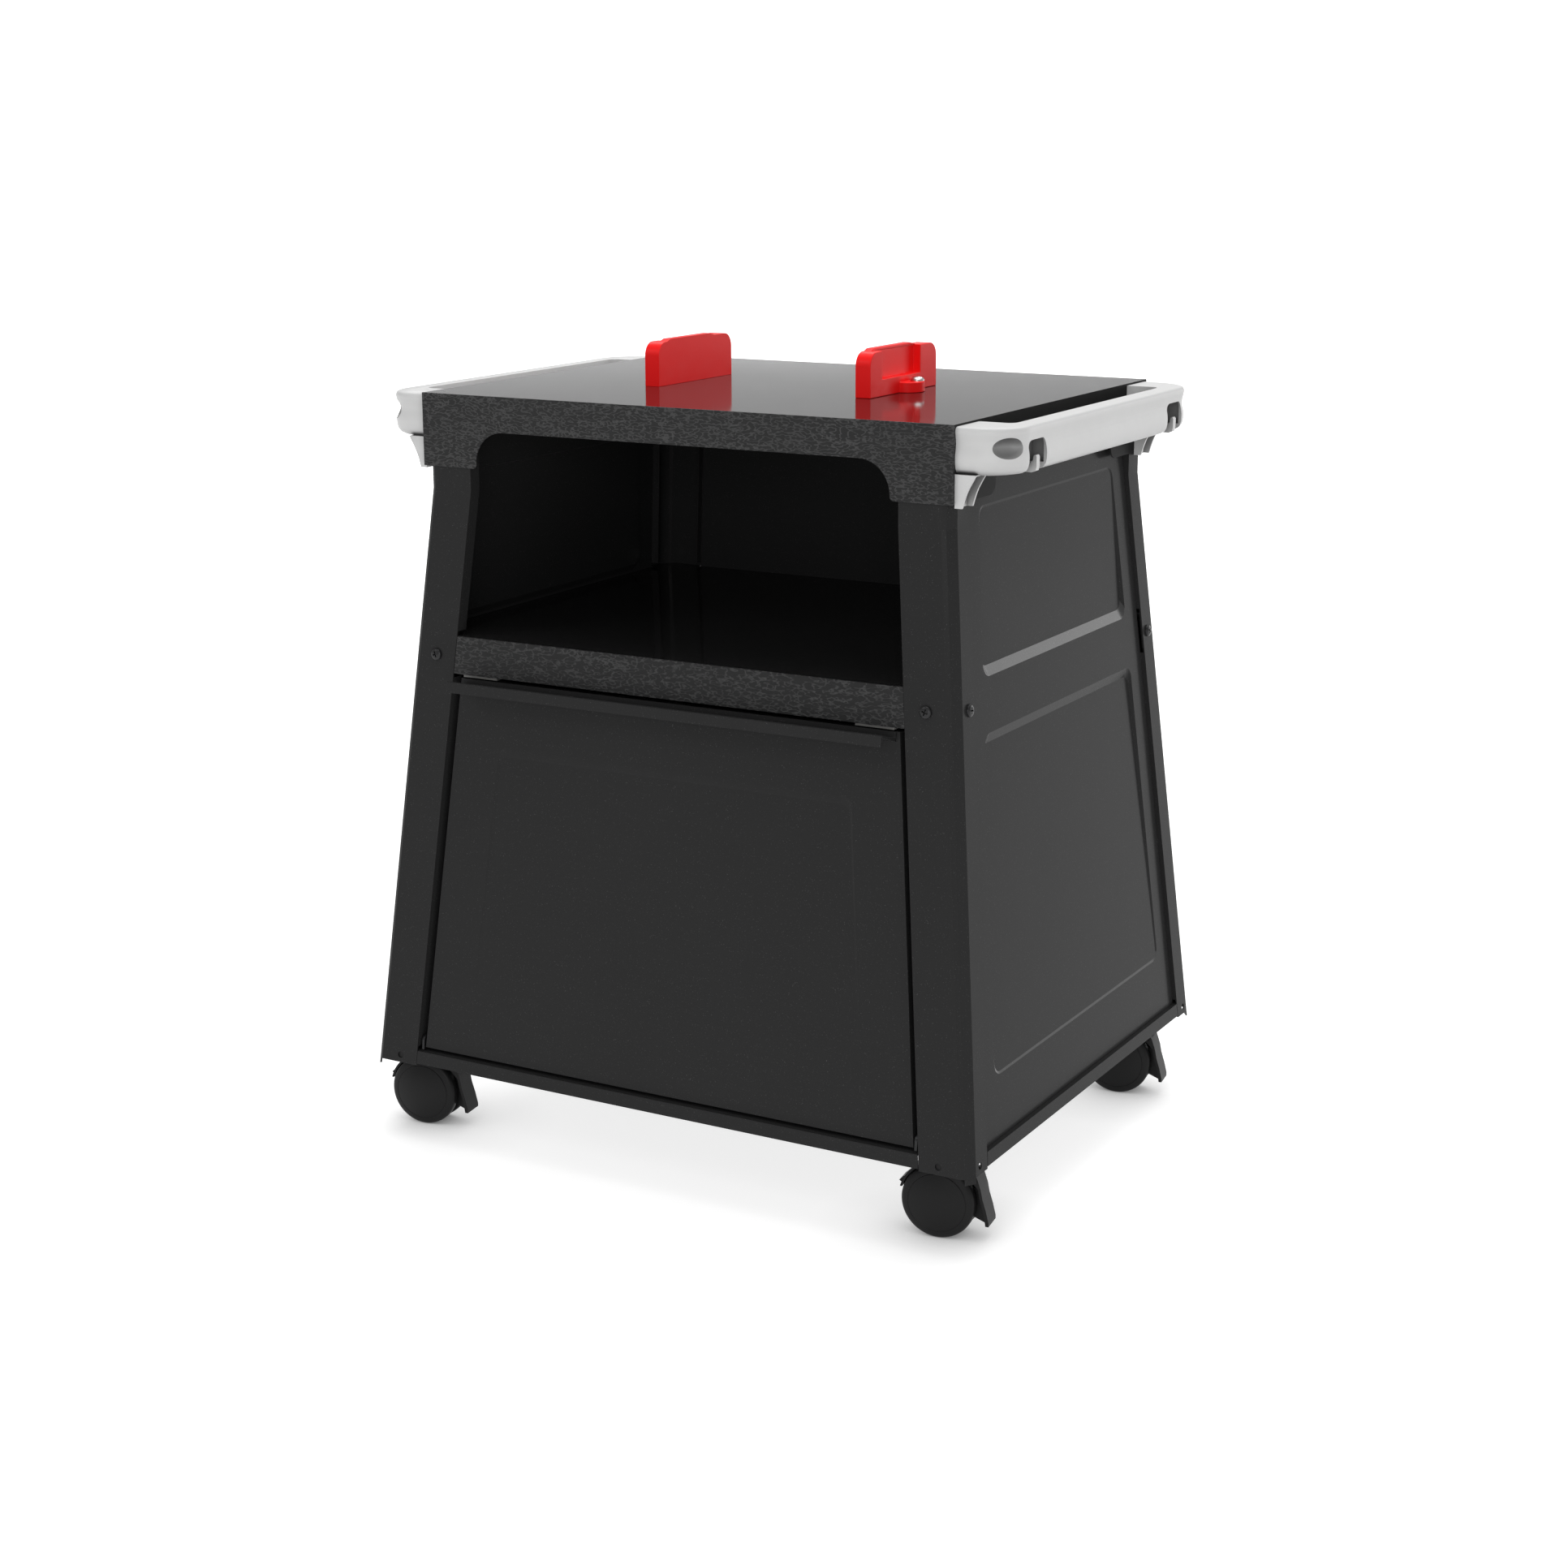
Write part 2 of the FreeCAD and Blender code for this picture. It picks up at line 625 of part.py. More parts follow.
def make_handle(label, side):
    body = new_body(label)
    wall = "cart_width / 2"
    outer = "(cart_width / 2 + handle_reach)"
    inner = "(cart_width / 2 + handle_slot)"

    def mirrored(points):
        return [("%d * (%s)" % (side, x), y) for x, y in points]

    def level_of(low, length):
        return low if side > 0 else "-(%s) - (%s)" % (low, length)

    outline = mirrored([
        (wall, "-handle_half_length"), (outer, "-handle_half_length"),
        (outer, "handle_half_length"), (wall, "handle_half_length"),
        (wall, "slot_half_length"), (inner, "slot_half_length"),
        (inner, "-slot_half_length"), (wall, "-slot_half_length"),
    ])
    radii = [None, "handle_corner", "handle_corner", None, None, "slot_corner", "slot_corner", None]
    block(body, "XY", outline, "handle_low", "handle_high - handle_low", radii=radii)
    low, high = value("handle_low"), value("handle_high")
    wall_at = value(wall) * side

    def is_rim(edge):
        box = span(edge)
        flat = box.ZMax - box.ZMin < 0.01
        at_wall = abs(box.XMin - wall_at) < 0.01 and abs(box.XMax - wall_at) < 0.01
        return flat and not at_wall and (abs(box.ZMin - low) < 0.01 or abs(box.ZMin - high) < 0.01)

    round_edges(body, "handle_edge", is_rim)

    hollow = mirrored([
        (wall + " + handle_wall", "-handle_half_length + handle_wall"),
        (outer + " - handle_wall", "-handle_half_length + handle_wall"),
        (outer + " - handle_wall", "handle_half_length - handle_wall"),
        (wall + " + handle_wall", "handle_half_length - handle_wall"),
        (wall + " + handle_wall", "slot_half_length + handle_wall"),
        (inner + " + handle_wall", "slot_half_length + handle_wall"),
        (inner + " + handle_wall", "-slot_half_length - handle_wall"),
        (wall + " + handle_wall", "-slot_half_length - handle_wall"),
    ])
    broad = "handle_corner + 2 * handle_wall"
    hollow_radii = [None, broad, broad, None, None,
                    "slot_corner + handle_wall", "slot_corner + handle_wall", None]
    block(body, "XY", hollow, "handle_low - 1", "handle_high - handle_low + 1 - handle_wall", cut=True,
          radii=hollow_radii)

    foot = [(wall, "gusset_low"), (wall + " + gusset_foot", "gusset_low"),
            (wall + " + gusset_foot * 1.35", "(gusset_low + handle_low) / 2 - 1"),
            (wall + " + gusset_reach", "handle_low + 2"), (wall, "handle_low + 2")]
    foot_radii = [None, None, "gusset_curve", None, None]
    for end in (-1, 1):
        start = "-handle_half_length" if end < 0 else "gusset_inner"
        width = "handle_half_length - gusset_inner"
        block(body, "XZ", mirrored(foot), start, width, radii=foot_radii)
        cell = mirrored(rectangle(wall + " + 2", "gusset_low - 1", wall + " + gusset_reach + 1",
                                  "handle_low"))
        block(body, "XZ", cell, start + " + handle_wall", width + " - 2 * handle_wall", cut=True)
        rod(body, "YZ", ("%d * gusset_screw" % end, "gusset_low + 7"), "screw_radius + running_gap",
            level_of(wall + " - 1", "6"), "6", cut=True)
        notch_low = "%d * hook_centre - hook_notch_width / 2" % end
        notch_high = "%d * hook_centre + hook_notch_width / 2" % end
        notch = [(notch_low, "handle_low - 1"), (notch_high, "handle_low - 1"),
                 (notch_high, "hook_notch_top"), (notch_low, "hook_notch_top")]
        notch_length = "handle_reach - handle_slot - handle_wall + 1"
        block(body, "YZ", notch, level_of(inner + " + handle_wall", notch_length), notch_length, cut=True,
              radii=[None, None, "hook_notch_radius", "hook_notch_radius"])
        web_low = "%d * hook_centre - hook_width / 2" % end
        web_high = "%d * hook_centre + hook_width / 2" % end
        web = rectangle(web_low, "handle_low", web_high, "handle_low + hook_web_height")
        web_length = "handle_reach - handle_slot - handle_wall + 1"
        block(body, "YZ", web, level_of(inner + " + handle_wall - 1", web_length), web_length)
        finger = rectangle(web_low, "handle_low", web_high, "handle_low + hook_finger_height")
        block(body, "YZ", finger, level_of(outer + " - hook_finger", "hook_finger"), "hook_finger",
              radii=[None, None, "hook_width / 2 - gap", "hook_width / 2 - gap"])
        corner_recess(body, side, end, outer)
    keep(body, label)


# Splayed panels, drawn flat with their outer face at zero and then leaned out
def field_wires(body, plane, half_at, low, high, deep_end, face, direction, extra):
    """Loft sections of an embossed field that deepens towards one end."""
    shallow, deep = "field_shallow", "field_depth"
    at_low = deep if deep_end == "low" else shallow
    at_high = shallow if deep_end == "low" else deep
    low_ledge = "field_ledge" if deep_end == "low" else "field_flank"
    high_ledge = "field_flank" if deep_end == "low" else "field_ledge"
    in_low, in_high = "(%s + %s)" % (low, low_ledge), "(%s - %s)" % (high, high_ledge)
    outer = [("-(%s)" % half_at(low), low), (half_at(low), low), (half_at(high), high),
             ("-(%s)" % half_at(high), high)]
    flank = "field_flank"
    inner_low, inner_high = "(%s - %s)" % (half_at(in_low), flank), "(%s - %s)" % (half_at(in_high), flank)
    outer_sketch = new_sketch(body, plane, face)
    draw_rounded(outer_sketch, outer, ["field_corner"] * 4)
    rise = "(%s - %s)" % (in_high, in_low)
    lean = "atan((%s - %s) / %s)" % (at_low, at_high, rise)
    run = "(%s / cos(%s))" % (rise, lean)
    inner = [("-" + inner_low, "0"), (inner_low, "0"), (inner_high, run), ("-" + inner_high, run)]
    level = "%d * (%s + %s)" % (direction, at_low, extra)
    axis_sign = -1 if plane == "XZ" else 1
    tilt_axis = (1, 0, 0) if direction * axis_sign < 0 else (-1, 0, 0)
    if value("%s - %s" % (at_low, at_high)) < 0:
        tilt_axis = tuple(-a for a in tilt_axis)
        lean = "atan((%s - %s) / %s)" % (at_high, at_low, rise)
    inner_sketch = new_sketch(body, plane, level, tilt=(tilt_axis, lean, in_low))
    draw_rounded(inner_sketch, inner, ["field_corner - field_flank"] * 4)
    return outer_sketch, inner_sketch


def emboss(body, plane, half_at, low, high, deep_end, direction):
    """Press a field into a sheet: first its back, one gauge deeper, then its front."""
    for cut in (False, True):
        face = "0" if not cut else "%d * -0.01" % direction
        extra = "0" if cut else "gauge"
        outer, inner = field_wires(body, plane, half_at, low, high, deep_end, face, direction, extra)
        loft([outer, inner], body, cut)


def make_side_panel(label, side):
    """Drawn in its YZ plane, outer face at X = 0, inside towards the cart."""
    body = new_body(label)
    low = slope("tray_height + gap")
    high = slope("panel_top")

    def half_at(level):
        return "(cart_depth / 2 - gauge - leg_side - gap - %s * (%s))" % (SIN, level)

    def half_field(level):
        return "(cart_depth / 2 - gauge - field_margin - %s * (%s))" % (SIN, level)

    wide, narrow = half_at(low), half_at(high)
    outline = [("-" + wide, low), (wide, low), (narrow, high), ("-" + narrow, high)]
    start = "-gauge" if side > 0 else "0"
    block(body, "YZ", outline, start, "gauge")
    emboss(body, "YZ", half_field, slope("upper_field_low"), slope("upper_field_high"), "low", -side)
    emboss(body, "YZ", half_field, slope("lower_field_low"), slope("lower_field_high"), "high", -side)
    reach = "(panel_recess + %s * (panel_top - knee_height) - 2 * gap)" % TAN
    lip = rectangle("-" + half_at(high), high + " - gauge", half_at(high), high)
    block(body, "YZ", lip, "0" if side > 0 else "-" + reach, reach)
    place(body, ("%d * (cart_width / 2 - gauge - panel_recess)" % side, "0", "knee_height"),
          (0, -side, 0), "splay_angle * 1 deg")
    keep(body, label)


def make_back_panel():
    """Drawn in its XZ plane, outer face at Y = 0, inside towards the front."""
    body = new_body("back_panel")
    low = slope("tray_height + gap")
    high = slope("panel_top")

    def half_at(level):
        return "(cart_width / 2 - gauge - leg_front - gap - %s * (%s))" % (SIN, level)

    wide, narrow = half_at(low), half_at(high)
    outline = [("-" + wide, low), (wide, low), (narrow, high), ("-" + narrow, high)]
    block(body, "XZ", outline, "-gauge", "gauge")
    reach = "(panel_recess + %s * (panel_top - knee_height) - 2 * gap)" % TAN
    lip = rectangle("-" + half_at(high), high + " - gauge", half_at(high), high)
    block(body, "XZ", lip, "0", reach)
    base = ("0", "cart_depth / 2 - gauge - panel_recess", "knee_height")
    place(body, base, (1, 0, 0), "splay_angle * 1 deg")
    keep(body, "back_panel")


# Shelf and tray
def floor_outline(level, front_inset, side_inset, back_inset, past_leg):
    """Cross-shaped floor: its middle reaches the rails, its corners nest in the legs."""
    points = []
    nest = "(gauge + gap)"
    clear_x, clear_y = "(leg_front + %s)" % past_leg, "(leg_side + %s)" % past_leg
    for side, end in ((-1, -1), (1, -1), (1, 1), (-1, 1)):
        edge = front_inset if end < 0 else back_inset
        corner = [
            (clear_x, edge), (clear_x, nest), ("floor_chamfer + " + nest, nest),
            (nest, "floor_chamfer + " + nest), (nest, clear_y), (side_inset, clear_y),
        ]
        placed = [leg_point(side, end, level, a, b) for a, b in corner]
        points += placed if side == end * -1 else placed[::-1]
    return points


def make_tray():
    body = new_body("bottom_tray")
    top, low = "tray_height", "(tray_height - tray_rail_height)"
    block(body, "XY", floor_outline(top, "0", "0", "0", "rail_end_gap"), "tray_height - gauge", "gauge")
    for end in (-1, 1):
        def rail(level, end=end):
            half = "(%s - leg_front - rail_end_gap)" % reach_x(level)
            outer = "%d * %s" % (end, reach_y(level))
            inner = "%d * (%s - gauge)" % (end, reach_y(level))
            return rectangle("-" + half, outer, half, inner)
        leaning(body, rail, (low, top + " - gauge / 2"))
    for side in (-1, 1):
        def rail(level, side=side):
            half = "(%s - leg_side - rail_end_gap)" % reach_y(level)
            outer = "%d * %s" % (side, reach_x(level))
            inner = "%d * (%s - gauge)" % (side, reach_x(level))
            return rectangle(outer, "-" + half, inner, half)
        leaning(body, rail, (low, top + " - gauge / 2"))
    nest = "(gauge + gap)"
    for side in (-1, 1):
        for end in (-1, 1):
            def ear(level, side=side, end=end):
                corners = (("leg_front - 2", nest), ("floor_chamfer + 2", nest),
                           ("floor_chamfer + 2", nest + " + gauge"), ("leg_front - 2", nest + " + gauge"))
                return [leg_point(side, end, level, a, b) for a, b in corners]

            leaning(body, ear, (low, top + " - gauge / 2"))
    keep(body, "bottom_tray")


def make_shelf():
    body = new_body("middle_shelf")
    top, low = "shelf_height", "(shelf_height - shelf_rail_height)"
    inset = "(panel_recess + gauge + 2 * gap)"
    outline = floor_outline(top, "gauge + gap * 0.7", inset, inset, "-rail_end_gap")
    block(body, "XY", outline, "shelf_height - gauge", "gauge")
    nest = "(gauge + gap)"
    for side in (-1, 1):
        for end in (-1, 1):
            def front_ear(level, side=side, end=end):
                corners = (("leg_front - 2", nest), ("floor_chamfer + 2", nest),
                           ("floor_chamfer + 2", nest + " + gauge"), ("leg_front - 2", nest + " + gauge"))
                return [leg_point(side, end, level, a, b) for a, b in corners]

            def side_ear(level, side=side, end=end):
                corners = ((nest, "leg_side - 2"), (nest, "floor_chamfer + 2"),
                           (nest + " + gauge", "floor_chamfer + 2"), (nest + " + gauge", "leg_side - 2"))
                return [leg_point(side, end, level, a, b) for a, b in corners]

            leaning(body, front_ear, (low, top + " - gauge / 2"))
            leaning(body, side_ear, (low, top + " - gauge / 2"))
            x, y = leg_point(side, end, "screw_height", "screw_front", "4")
            hole = "screw_radius + screw_clearance"
            rod(body, "XZ", (x, "screw_height"), hole, y + " - 6", "12", cut=True)
            x, y = leg_point(side, end, "screw_height", "4", "screw_side")
            rod(body, "YZ", (y, "screw_height"), hole, x + " - 6", "12", cut=True)
    keep(body, "middle_shelf")


def make_shelf_rail():
    """Textured face under the shelf's front edge, a channel open to the back."""
    body = new_body("shelf_front_rail")
    low, top = "(shelf_height - shelf_rail_height)", "shelf_height"

    def section(depth_from, depth_to):
        def outline(level):
            half = "(%s - leg_front - gap)" % reach_x(level)
            return rectangle("-" + half, "-%s + %s" % (reach_y(level), depth_from),
                             half, "-%s + %s" % (reach_y(level), depth_to))
        return outline

    leaning(body, section("0", "gauge"), (low, top))
    leaning(body, section("gauge / 2", "catch_depth + 2"), (low, low + " + gauge"))
    keep(body, "shelf_front_rail")


# Door, drawn flat in its XZ plane with its outer face at Y = 0 and leaned out
def door_half(level):
    return "(cart_width / 2 - gauge - leg_front - door_side_gap - %s * (%s))" % (SIN, level)


def hinge_place():
    """Height along the door and depth behind its face of the hinge axis."""
    return slope("hinge_height"), "hinge_inset"


def make_door():
    body = new_body("door")
    low, high = slope("door_low"), slope("door_high")
    wide, narrow = door_half(low), door_half(high)
    outline = [("-" + wide, low), (wide, low), (narrow, high), ("-" + narrow, high)]
    block(body, "XZ", outline, "0", "door_depth")
    hollow = [("-" + wide + " + gauge", low + " + gauge"), (wide + " - gauge", low + " + gauge"),
              (narrow + " - gauge", high + " - gauge"), ("-" + narrow + " + gauge", high + " - gauge")]
    block(body, "XZ", hollow, "gauge", "door_depth", cut=True)

    def half_field(level):
        return "(cart_width / 2 - gauge - door_field_margin - %s * (%s))" % (SIN, level)

    emboss(body, "XZ", half_field, slope("door_field_low"), slope("door_field_high"), "high", 1)
    along, inset = hinge_place()
    rod(body, "YZ", (inset, along), "hinge_pin_radius + running_gap", "-400", "800", cut=True)
    lean_door(body)
    keep(body, "door")


def lean_door(body):
    base = ("0", "-(cart_depth / 2 - gauge - panel_recess)", "knee_height")
    place(body, base, (-1, 0, 0), "splay_angle * 1 deg")


def make_pull():
    """Finger lip along the door's top: back strip, rising arm and turned-down hem."""
    body = new_body("door_pull")
    root, top = slope("pull_root"), slope("door_high")
    arm = "(%s + pull_rise)" % root
    outline = [
        ("0", root), ("0", top), ("-gauge", top), ("-gauge", root + " + 2 * gauge"),
        ("-pull_reach - gauge", arm + " + gauge"), ("-pull_reach - 2 * gauge", arm + " + gauge / 2"),
        ("-pull_reach - 2 * gauge", arm + " - pull_hem"), ("-pull_reach - gauge", arm + " - pull_hem"),
        ("-pull_reach - gauge", arm),
    ]
    block(body, "YZ", outline, "-pull_half_length", "2 * pull_half_length",
          radii=[None, None, None, "gauge", None, None, None, None, None])
    lean_door(body)
    keep(body, "door_pull")


def make_hinges():
    """Brackets standing on the tray beside the door, each with the pin it carries."""
    along, inset = hinge_place()
    brackets, pins = [], []
    for side, name in ((-1, "left"), (1, "right")):
        at = "(%s)" % slope("hinge_height")
        inner = "(%s + hinge_bracket_gap)" % door_half(at)
        start = inner if side > 0 else "-%s - hinge_bracket_width" % inner
        body = new_body("hinge_bracket_" + name)
        low = slope("tray_height + gap + 1")
        outline = rectangle(inset + " - 7", low, inset + " + 7", "%s + 7" % along)
        block(body, "YZ", outline, start, "hinge_bracket_width", radii=[None, None, "6", "6"])
        width = "hinge_bracket_width"
        rod(body, "YZ", (inset, along), "hinge_pin_radius", start + " - 1", width + " + 2", cut=True)
        lean_door(body)
        brackets.append(body)
        pin = new_body("hinge_pin_" + name)
        length = "(hinge_bracket_gap + hinge_bracket_width + 3 * gauge)"
        pin_start = "-%s - %s" % (inner, width)
        if side > 0:
            pin_start = "%s - hinge_bracket_gap - 3 * gauge" % inner
        rod(pin, "YZ", (inset, along), "hinge_pin_radius", pin_start, length)
        lean_door(pin)
        pins.append(pin)
    group("door_hinge_brackets", brackets)
    group("door_hinge_pins", pins)


def make_catches():
    """Magnet strips under the shelf rail, just above the door's top."""
    low = "(shelf_height - shelf_rail_height - catch_thickness)"
    front = "-(%s - gauge)" % reach_y("shelf_height - shelf_rail_height")
    for side, label in ((-1, "left_door_catch"), (1, "right_door_catch")):
        body = new_body(label)
        centre = "%d * catch_centre" % side
        outline = rectangle(centre + " - catch_length / 2", front, centre + " + catch_length / 2",
                            front + " + catch_depth")
        block(body, "XY", outline, low, "catch_thickness")
        keep(body, label)


# Screws
def make_screw(label, base, axis, angle, head, length, dome):
    """Pan-head screw along its own Z axis: head above zero, shank below."""
    body = new_body(label)
    turned(body, [("0", "-(%s)" % length), ("screw_radius", "-(%s)" % length), ("screw_radius", "0"),
                  (head, "0"), (head, "%s * 0.45" % dome), ("%s * 0.6" % head, dome), ("0", dome)])
    place(body, base, axis, angle)
    return body


def make_leg_screws():
    """One screw through each leg's front or rear face and one through its side."""
    screws = []
    level = "90 deg - splay_angle * 1 deg"
    for side in (-1, 1):
        for end in (-1, 1):
            x, y = leg_point(side, end, "screw_height", "screw_front", "0")
            name = "screw_%d_%d" % (side + 1, end + 1)
            turn = (-end, 0, 0)
            screws.append(make_screw(name + "_a", (x, y, "screw_height"), turn, level,
                                     "screw_head", "8", "3.4"))
            x, y = leg_point(side, end, "screw_height", "0", "screw_side")
            screws.append(make_screw(name + "_b", (x, y, "screw_height"), (0, side, 0), level,
                                     "screw_head", "8", "3.4"))
    group("leg_screws", screws)


def make_handle_screws():
    screws = []
    for side in (-1, 1):
        for end in (-1, 1):
            base = ("%d * (cart_width / 2 + 2)" % side, "%d * gusset_screw" % end, "gusset_low + 7")
            name = "handle_screw_%d_%d" % (side + 1, end + 1)
            screws.append(make_screw(name, base, (0, side, 0), "90 deg", "4.4", "7", "2.4"))
    group("handle_screws", screws)


# Lock brackets
def make_lock_bracket(label, side):
    """Upright plate beside the grill's foot: two columns, a thinner web and a screw boss."""
    body = new_body(label)
    low, high = "top_height", "top_height + lock_height"
    hump = high + " + lock_hump"
    front, rear = "-lock_front", "lock_rear"
    web_front, web_rear = front + " + lock_front_column", rear + " - lock_rear_column"
    outer = "(lock_inner + lock_thickness)"
    profile = [(front, low), (rear, low), (rear, high), (web_rear, high),
               (web_rear + " - 1.5 * lock_hump_slope", hump), (web_front + " + lock_hump_slope", hump),
               (web_front, high), (front, high)]
    radii = [None, None, "lock_radius", None, None, None, None, "lock_radius"]

    def level_of(start, length):
        return start if side > 0 else "-(%s) - (%s)" % (start, length)

    block(body, "YZ", profile, level_of("lock_inner", "lock_thickness"), "lock_thickness", radii=radii)
    recess_front, recess_rear = web_front + " + 9", web_rear + " - 2"
    recess = [(recess_front, low + " + lock_recess_floor"), (recess_rear, low + " + lock_recess_floor"),
              (recess_rear, hump + " + 1"), (recess_front, hump + " + 1")]
    block(body, "YZ", recess, level_of(outer + " - lock_recess_depth", "lock_recess_depth + 1"),
          "lock_recess_depth + 1", cut=True)
    crown = rectangle(front + " + 2", high, rear + " - 2", hump + " + 2")
    block(body, "YZ", crown, level_of(outer + " - lock_recess_depth - 0.01", "lock_recess_depth + 1"),
          "lock_recess_depth + 1", cut=True)
    boss_low_y, boss_high_y = "lock_boss_centre - lock_boss_radius", "lock_boss_centre + lock_boss_radius"
    reach = outer + " + lock_boss_reach"
    boss = [("%d * (%s - 2)" % (side, outer), boss_low_y), ("%d * (%s)" % (side, reach), boss_low_y),
            ("%d * (%s)" % (side, reach), boss_high_y), ("%d * (%s - 2)" % (side, outer), boss_high_y)]
    turn = "lock_boss_radius - 0.2"
    block(body, "XY", boss, low, "lock_boss_height", radii=[None, turn, turn, None])
    rod(body, "XY", ("%d * (%s + lock_screw_out)" % (side, outer), "lock_boss_centre + lock_screw_shift"),
        "screw_radius + running_gap", low + " - 1", "lock_boss_height + 2", cut=True)
    keep(body, label)


def make_lock_screws():
    screws = []
    for side in (-1, 1):
        base = ("%d * (lock_inner + lock_thickness + lock_screw_out)" % side,
                "lock_boss_centre + lock_screw_shift", "top_height + lock_boss_height")
        screws.append(make_screw("lock_screw_%d" % (side + 1), base, (0, 0, 1), "0",
                                 "lock_screw_head", "lock_boss_height", "lock_screw_dome"))
    group("lock_bracket_screws", screws)


# Casters, drawn about the middle of the axle and then placed
def make_caster(prefix, side, end):
    turn = "caster_turn * 1 deg"
    base = ("%d * caster_x - caster_trail * cos(%s)" % (side, turn),
            "%d * caster_y - caster_trail * sin(%s)" % (end, turn), "wheel_radius")

    def placed(body, label):
        place(body, base, (0, 0, 1), turn)
        keep(body, label)

    hood = new_body(prefix + "_hood")
    fender = "(wheel_radius + fender_gap)"
    pivot_x = "((wheel_radius + brake_pivot_out) * cos(brake_pivot_angle * 1 deg))"
    pivot_z = "((wheel_radius + brake_pivot_out) * sin(brake_pivot_angle * 1 deg))"
    middle = ("0", "0")
    rod(hood, "XZ", middle, fender + " + fender_thickness", "-fender_half_width", "2 * fender_half_width")
    outside = "fender_half_width + 1 - hood_half_width"
    far = "(2 * wheel_radius)"
    beside_brake = rectangle("wheel_radius * 0.5", "-" + far, far, pivot_z + " + brake_ear + 3")
    for start in ("-fender_half_width - 1", "hood_half_width"):
        rod(hood, "XZ", ("0", "0"), fender, start, outside, cut=True)
        block(hood, "XZ", beside_brake, start, outside, cut=True)
    lower = [("-" + far, "-" + far), (far, "-" + far), (far, pivot_z + " - 7"),
             ("wheel_radius * 0.72", pivot_z + " - 7"), ("12", "-8"), ("-12", "-8"),
             ("-wheel_radius * 0.9", "wheel_radius * 0.27"), ("-" + far, "wheel_radius * 0.27")]
    block(hood, "XZ", lower, "-fender_half_width - 1", "2 * fender_half_width + 2", cut=True)
    nose = [("-wheel_radius - 0.1", "wheel_radius * 0.3"),
            ("-wheel_radius - hood_nose", "wheel_radius * 0.38"),
            ("-wheel_radius + 1", "wheel_radius * 0.52"),
            ("-wheel_radius + 3", "wheel_radius * 0.48")]
    block(hood, "XZ", nose, "-fender_half_width * 2 / 3", "fender_half_width * 4 / 3")
    rod(hood, "XZ", ("0", "0"), "axle_radius + 5", "-hood_half_width", "2 * hood_half_width")
    rod(hood, "XY", ("caster_trail", "0"), "hood_half_width",
        "stem_bottom - wheel_radius - 4", "hood_top - stem_bottom + 4")
    arm = rectangle(pivot_x + " - 7", pivot_z + " - 6", pivot_x, pivot_z + " + 3")
    block(hood, "XZ", arm, "-hood_half_width", "2 * hood_half_width")
    rod(hood, "XZ", (pivot_x, pivot_z), "3.2", "-hood_half_width", "2 * hood_half_width")
    pin_half = "(brake_half_width - 2)"
    rod(hood, "XZ", (pivot_x, pivot_z), "brake_pin_radius", "-" + pin_half, "2 * " + pin_half)
    bore = "stem_radius + running_gap"
    rod(hood, "XY", ("caster_trail", "0"), bore, "stem_bottom - wheel_radius", "40", cut=True)
    rod(hood, "XZ", ("0", "0"), "axle_radius", "-20", "40", cut=True)
    placed(hood, prefix + "_hood")

    axle = new_body(prefix + "_axle")
    axle_half = "(wheel_gap + wheel_tread + 4)"
    rod(axle, "XZ", middle, "axle_radius", "-" + axle_half, "2 * " + axle_half)
    placed(axle, prefix + "_axle")

    for facing, name in ((-1, "front_wheel"), (1, "rear_wheel")):
        wheel = new_body(prefix + "_" + name)
        outer = "wheel_gap + wheel_tread"
        crown = "%s + wheel_dome" % outer
        bore = "axle_radius + running_gap"
        half = [(bore, "wheel_gap"), ("wheel_radius", "wheel_gap"), ("wheel_radius", outer),
                ("wheel_shoulder", outer + " + wheel_dome * 0.42"), ("wheel_shoulder / 2", crown),
                ("0", crown), ("0", outer + " + 4 + gap"), (bore, outer + " + 4 + gap")]
        turned(wheel, [(radius, "%d * (%s)" % (facing, along)) for radius, along in half], "XY")
        placed(wheel, prefix + "_" + name)

    brake = new_body(prefix + "_brake")
    sole = ((4.8, 0.44), (6.7, 0.18), (10.4, -0.14), (13.3, -0.46), (13.3, -0.56),
            (10, -0.56), (7.4, -0.16), (3.6, 0.18), (1.8, 0.44))
    outline = [(pivot_x + " + brake_ear", pivot_z)]
    outline += [("wheel_radius + %s" % out, "wheel_radius * %s" % up) for out, up in sole]
    outline += [(pivot_x + " - 2", pivot_z + " - brake_ear + 0.8"),
                (pivot_x + " - 3.4", pivot_z + " + 3"), (pivot_x + " + 1", pivot_z + " + brake_ear")]
    block(brake, "XZ", outline, "-brake_half_width", "2 * brake_half_width")
    slot = rectangle(pivot_x + " - 9", pivot_z + " - 8", pivot_x + " + 3.8", pivot_z + " + 8")
    block(brake, "XZ", slot, "-hood_half_width - gap", "2 * (hood_half_width + gap)", cut=True)
    rod(brake, "XZ", (pivot_x, pivot_z), "brake_pin_radius + running_gap", "-20", "40", cut=True)
    rib = [("wheel_radius * 0.84", "wheel_radius * 0.4"), ("wheel_radius + 4", "wheel_radius * 0.4"),
           ("wheel_radius + 9", "wheel_radius * -0.14"), ("wheel_radius + 12.4", "wheel_radius * -0.52"),
           ("wheel_radius + 10.4", "wheel_radius * -0.56"), ("wheel_radius * 0.84", "wheel_radius * -0.38")]
    block(brake, "XZ", rib, "-brake_rib", "2 * brake_rib")
    placed(brake, prefix + "_brake")


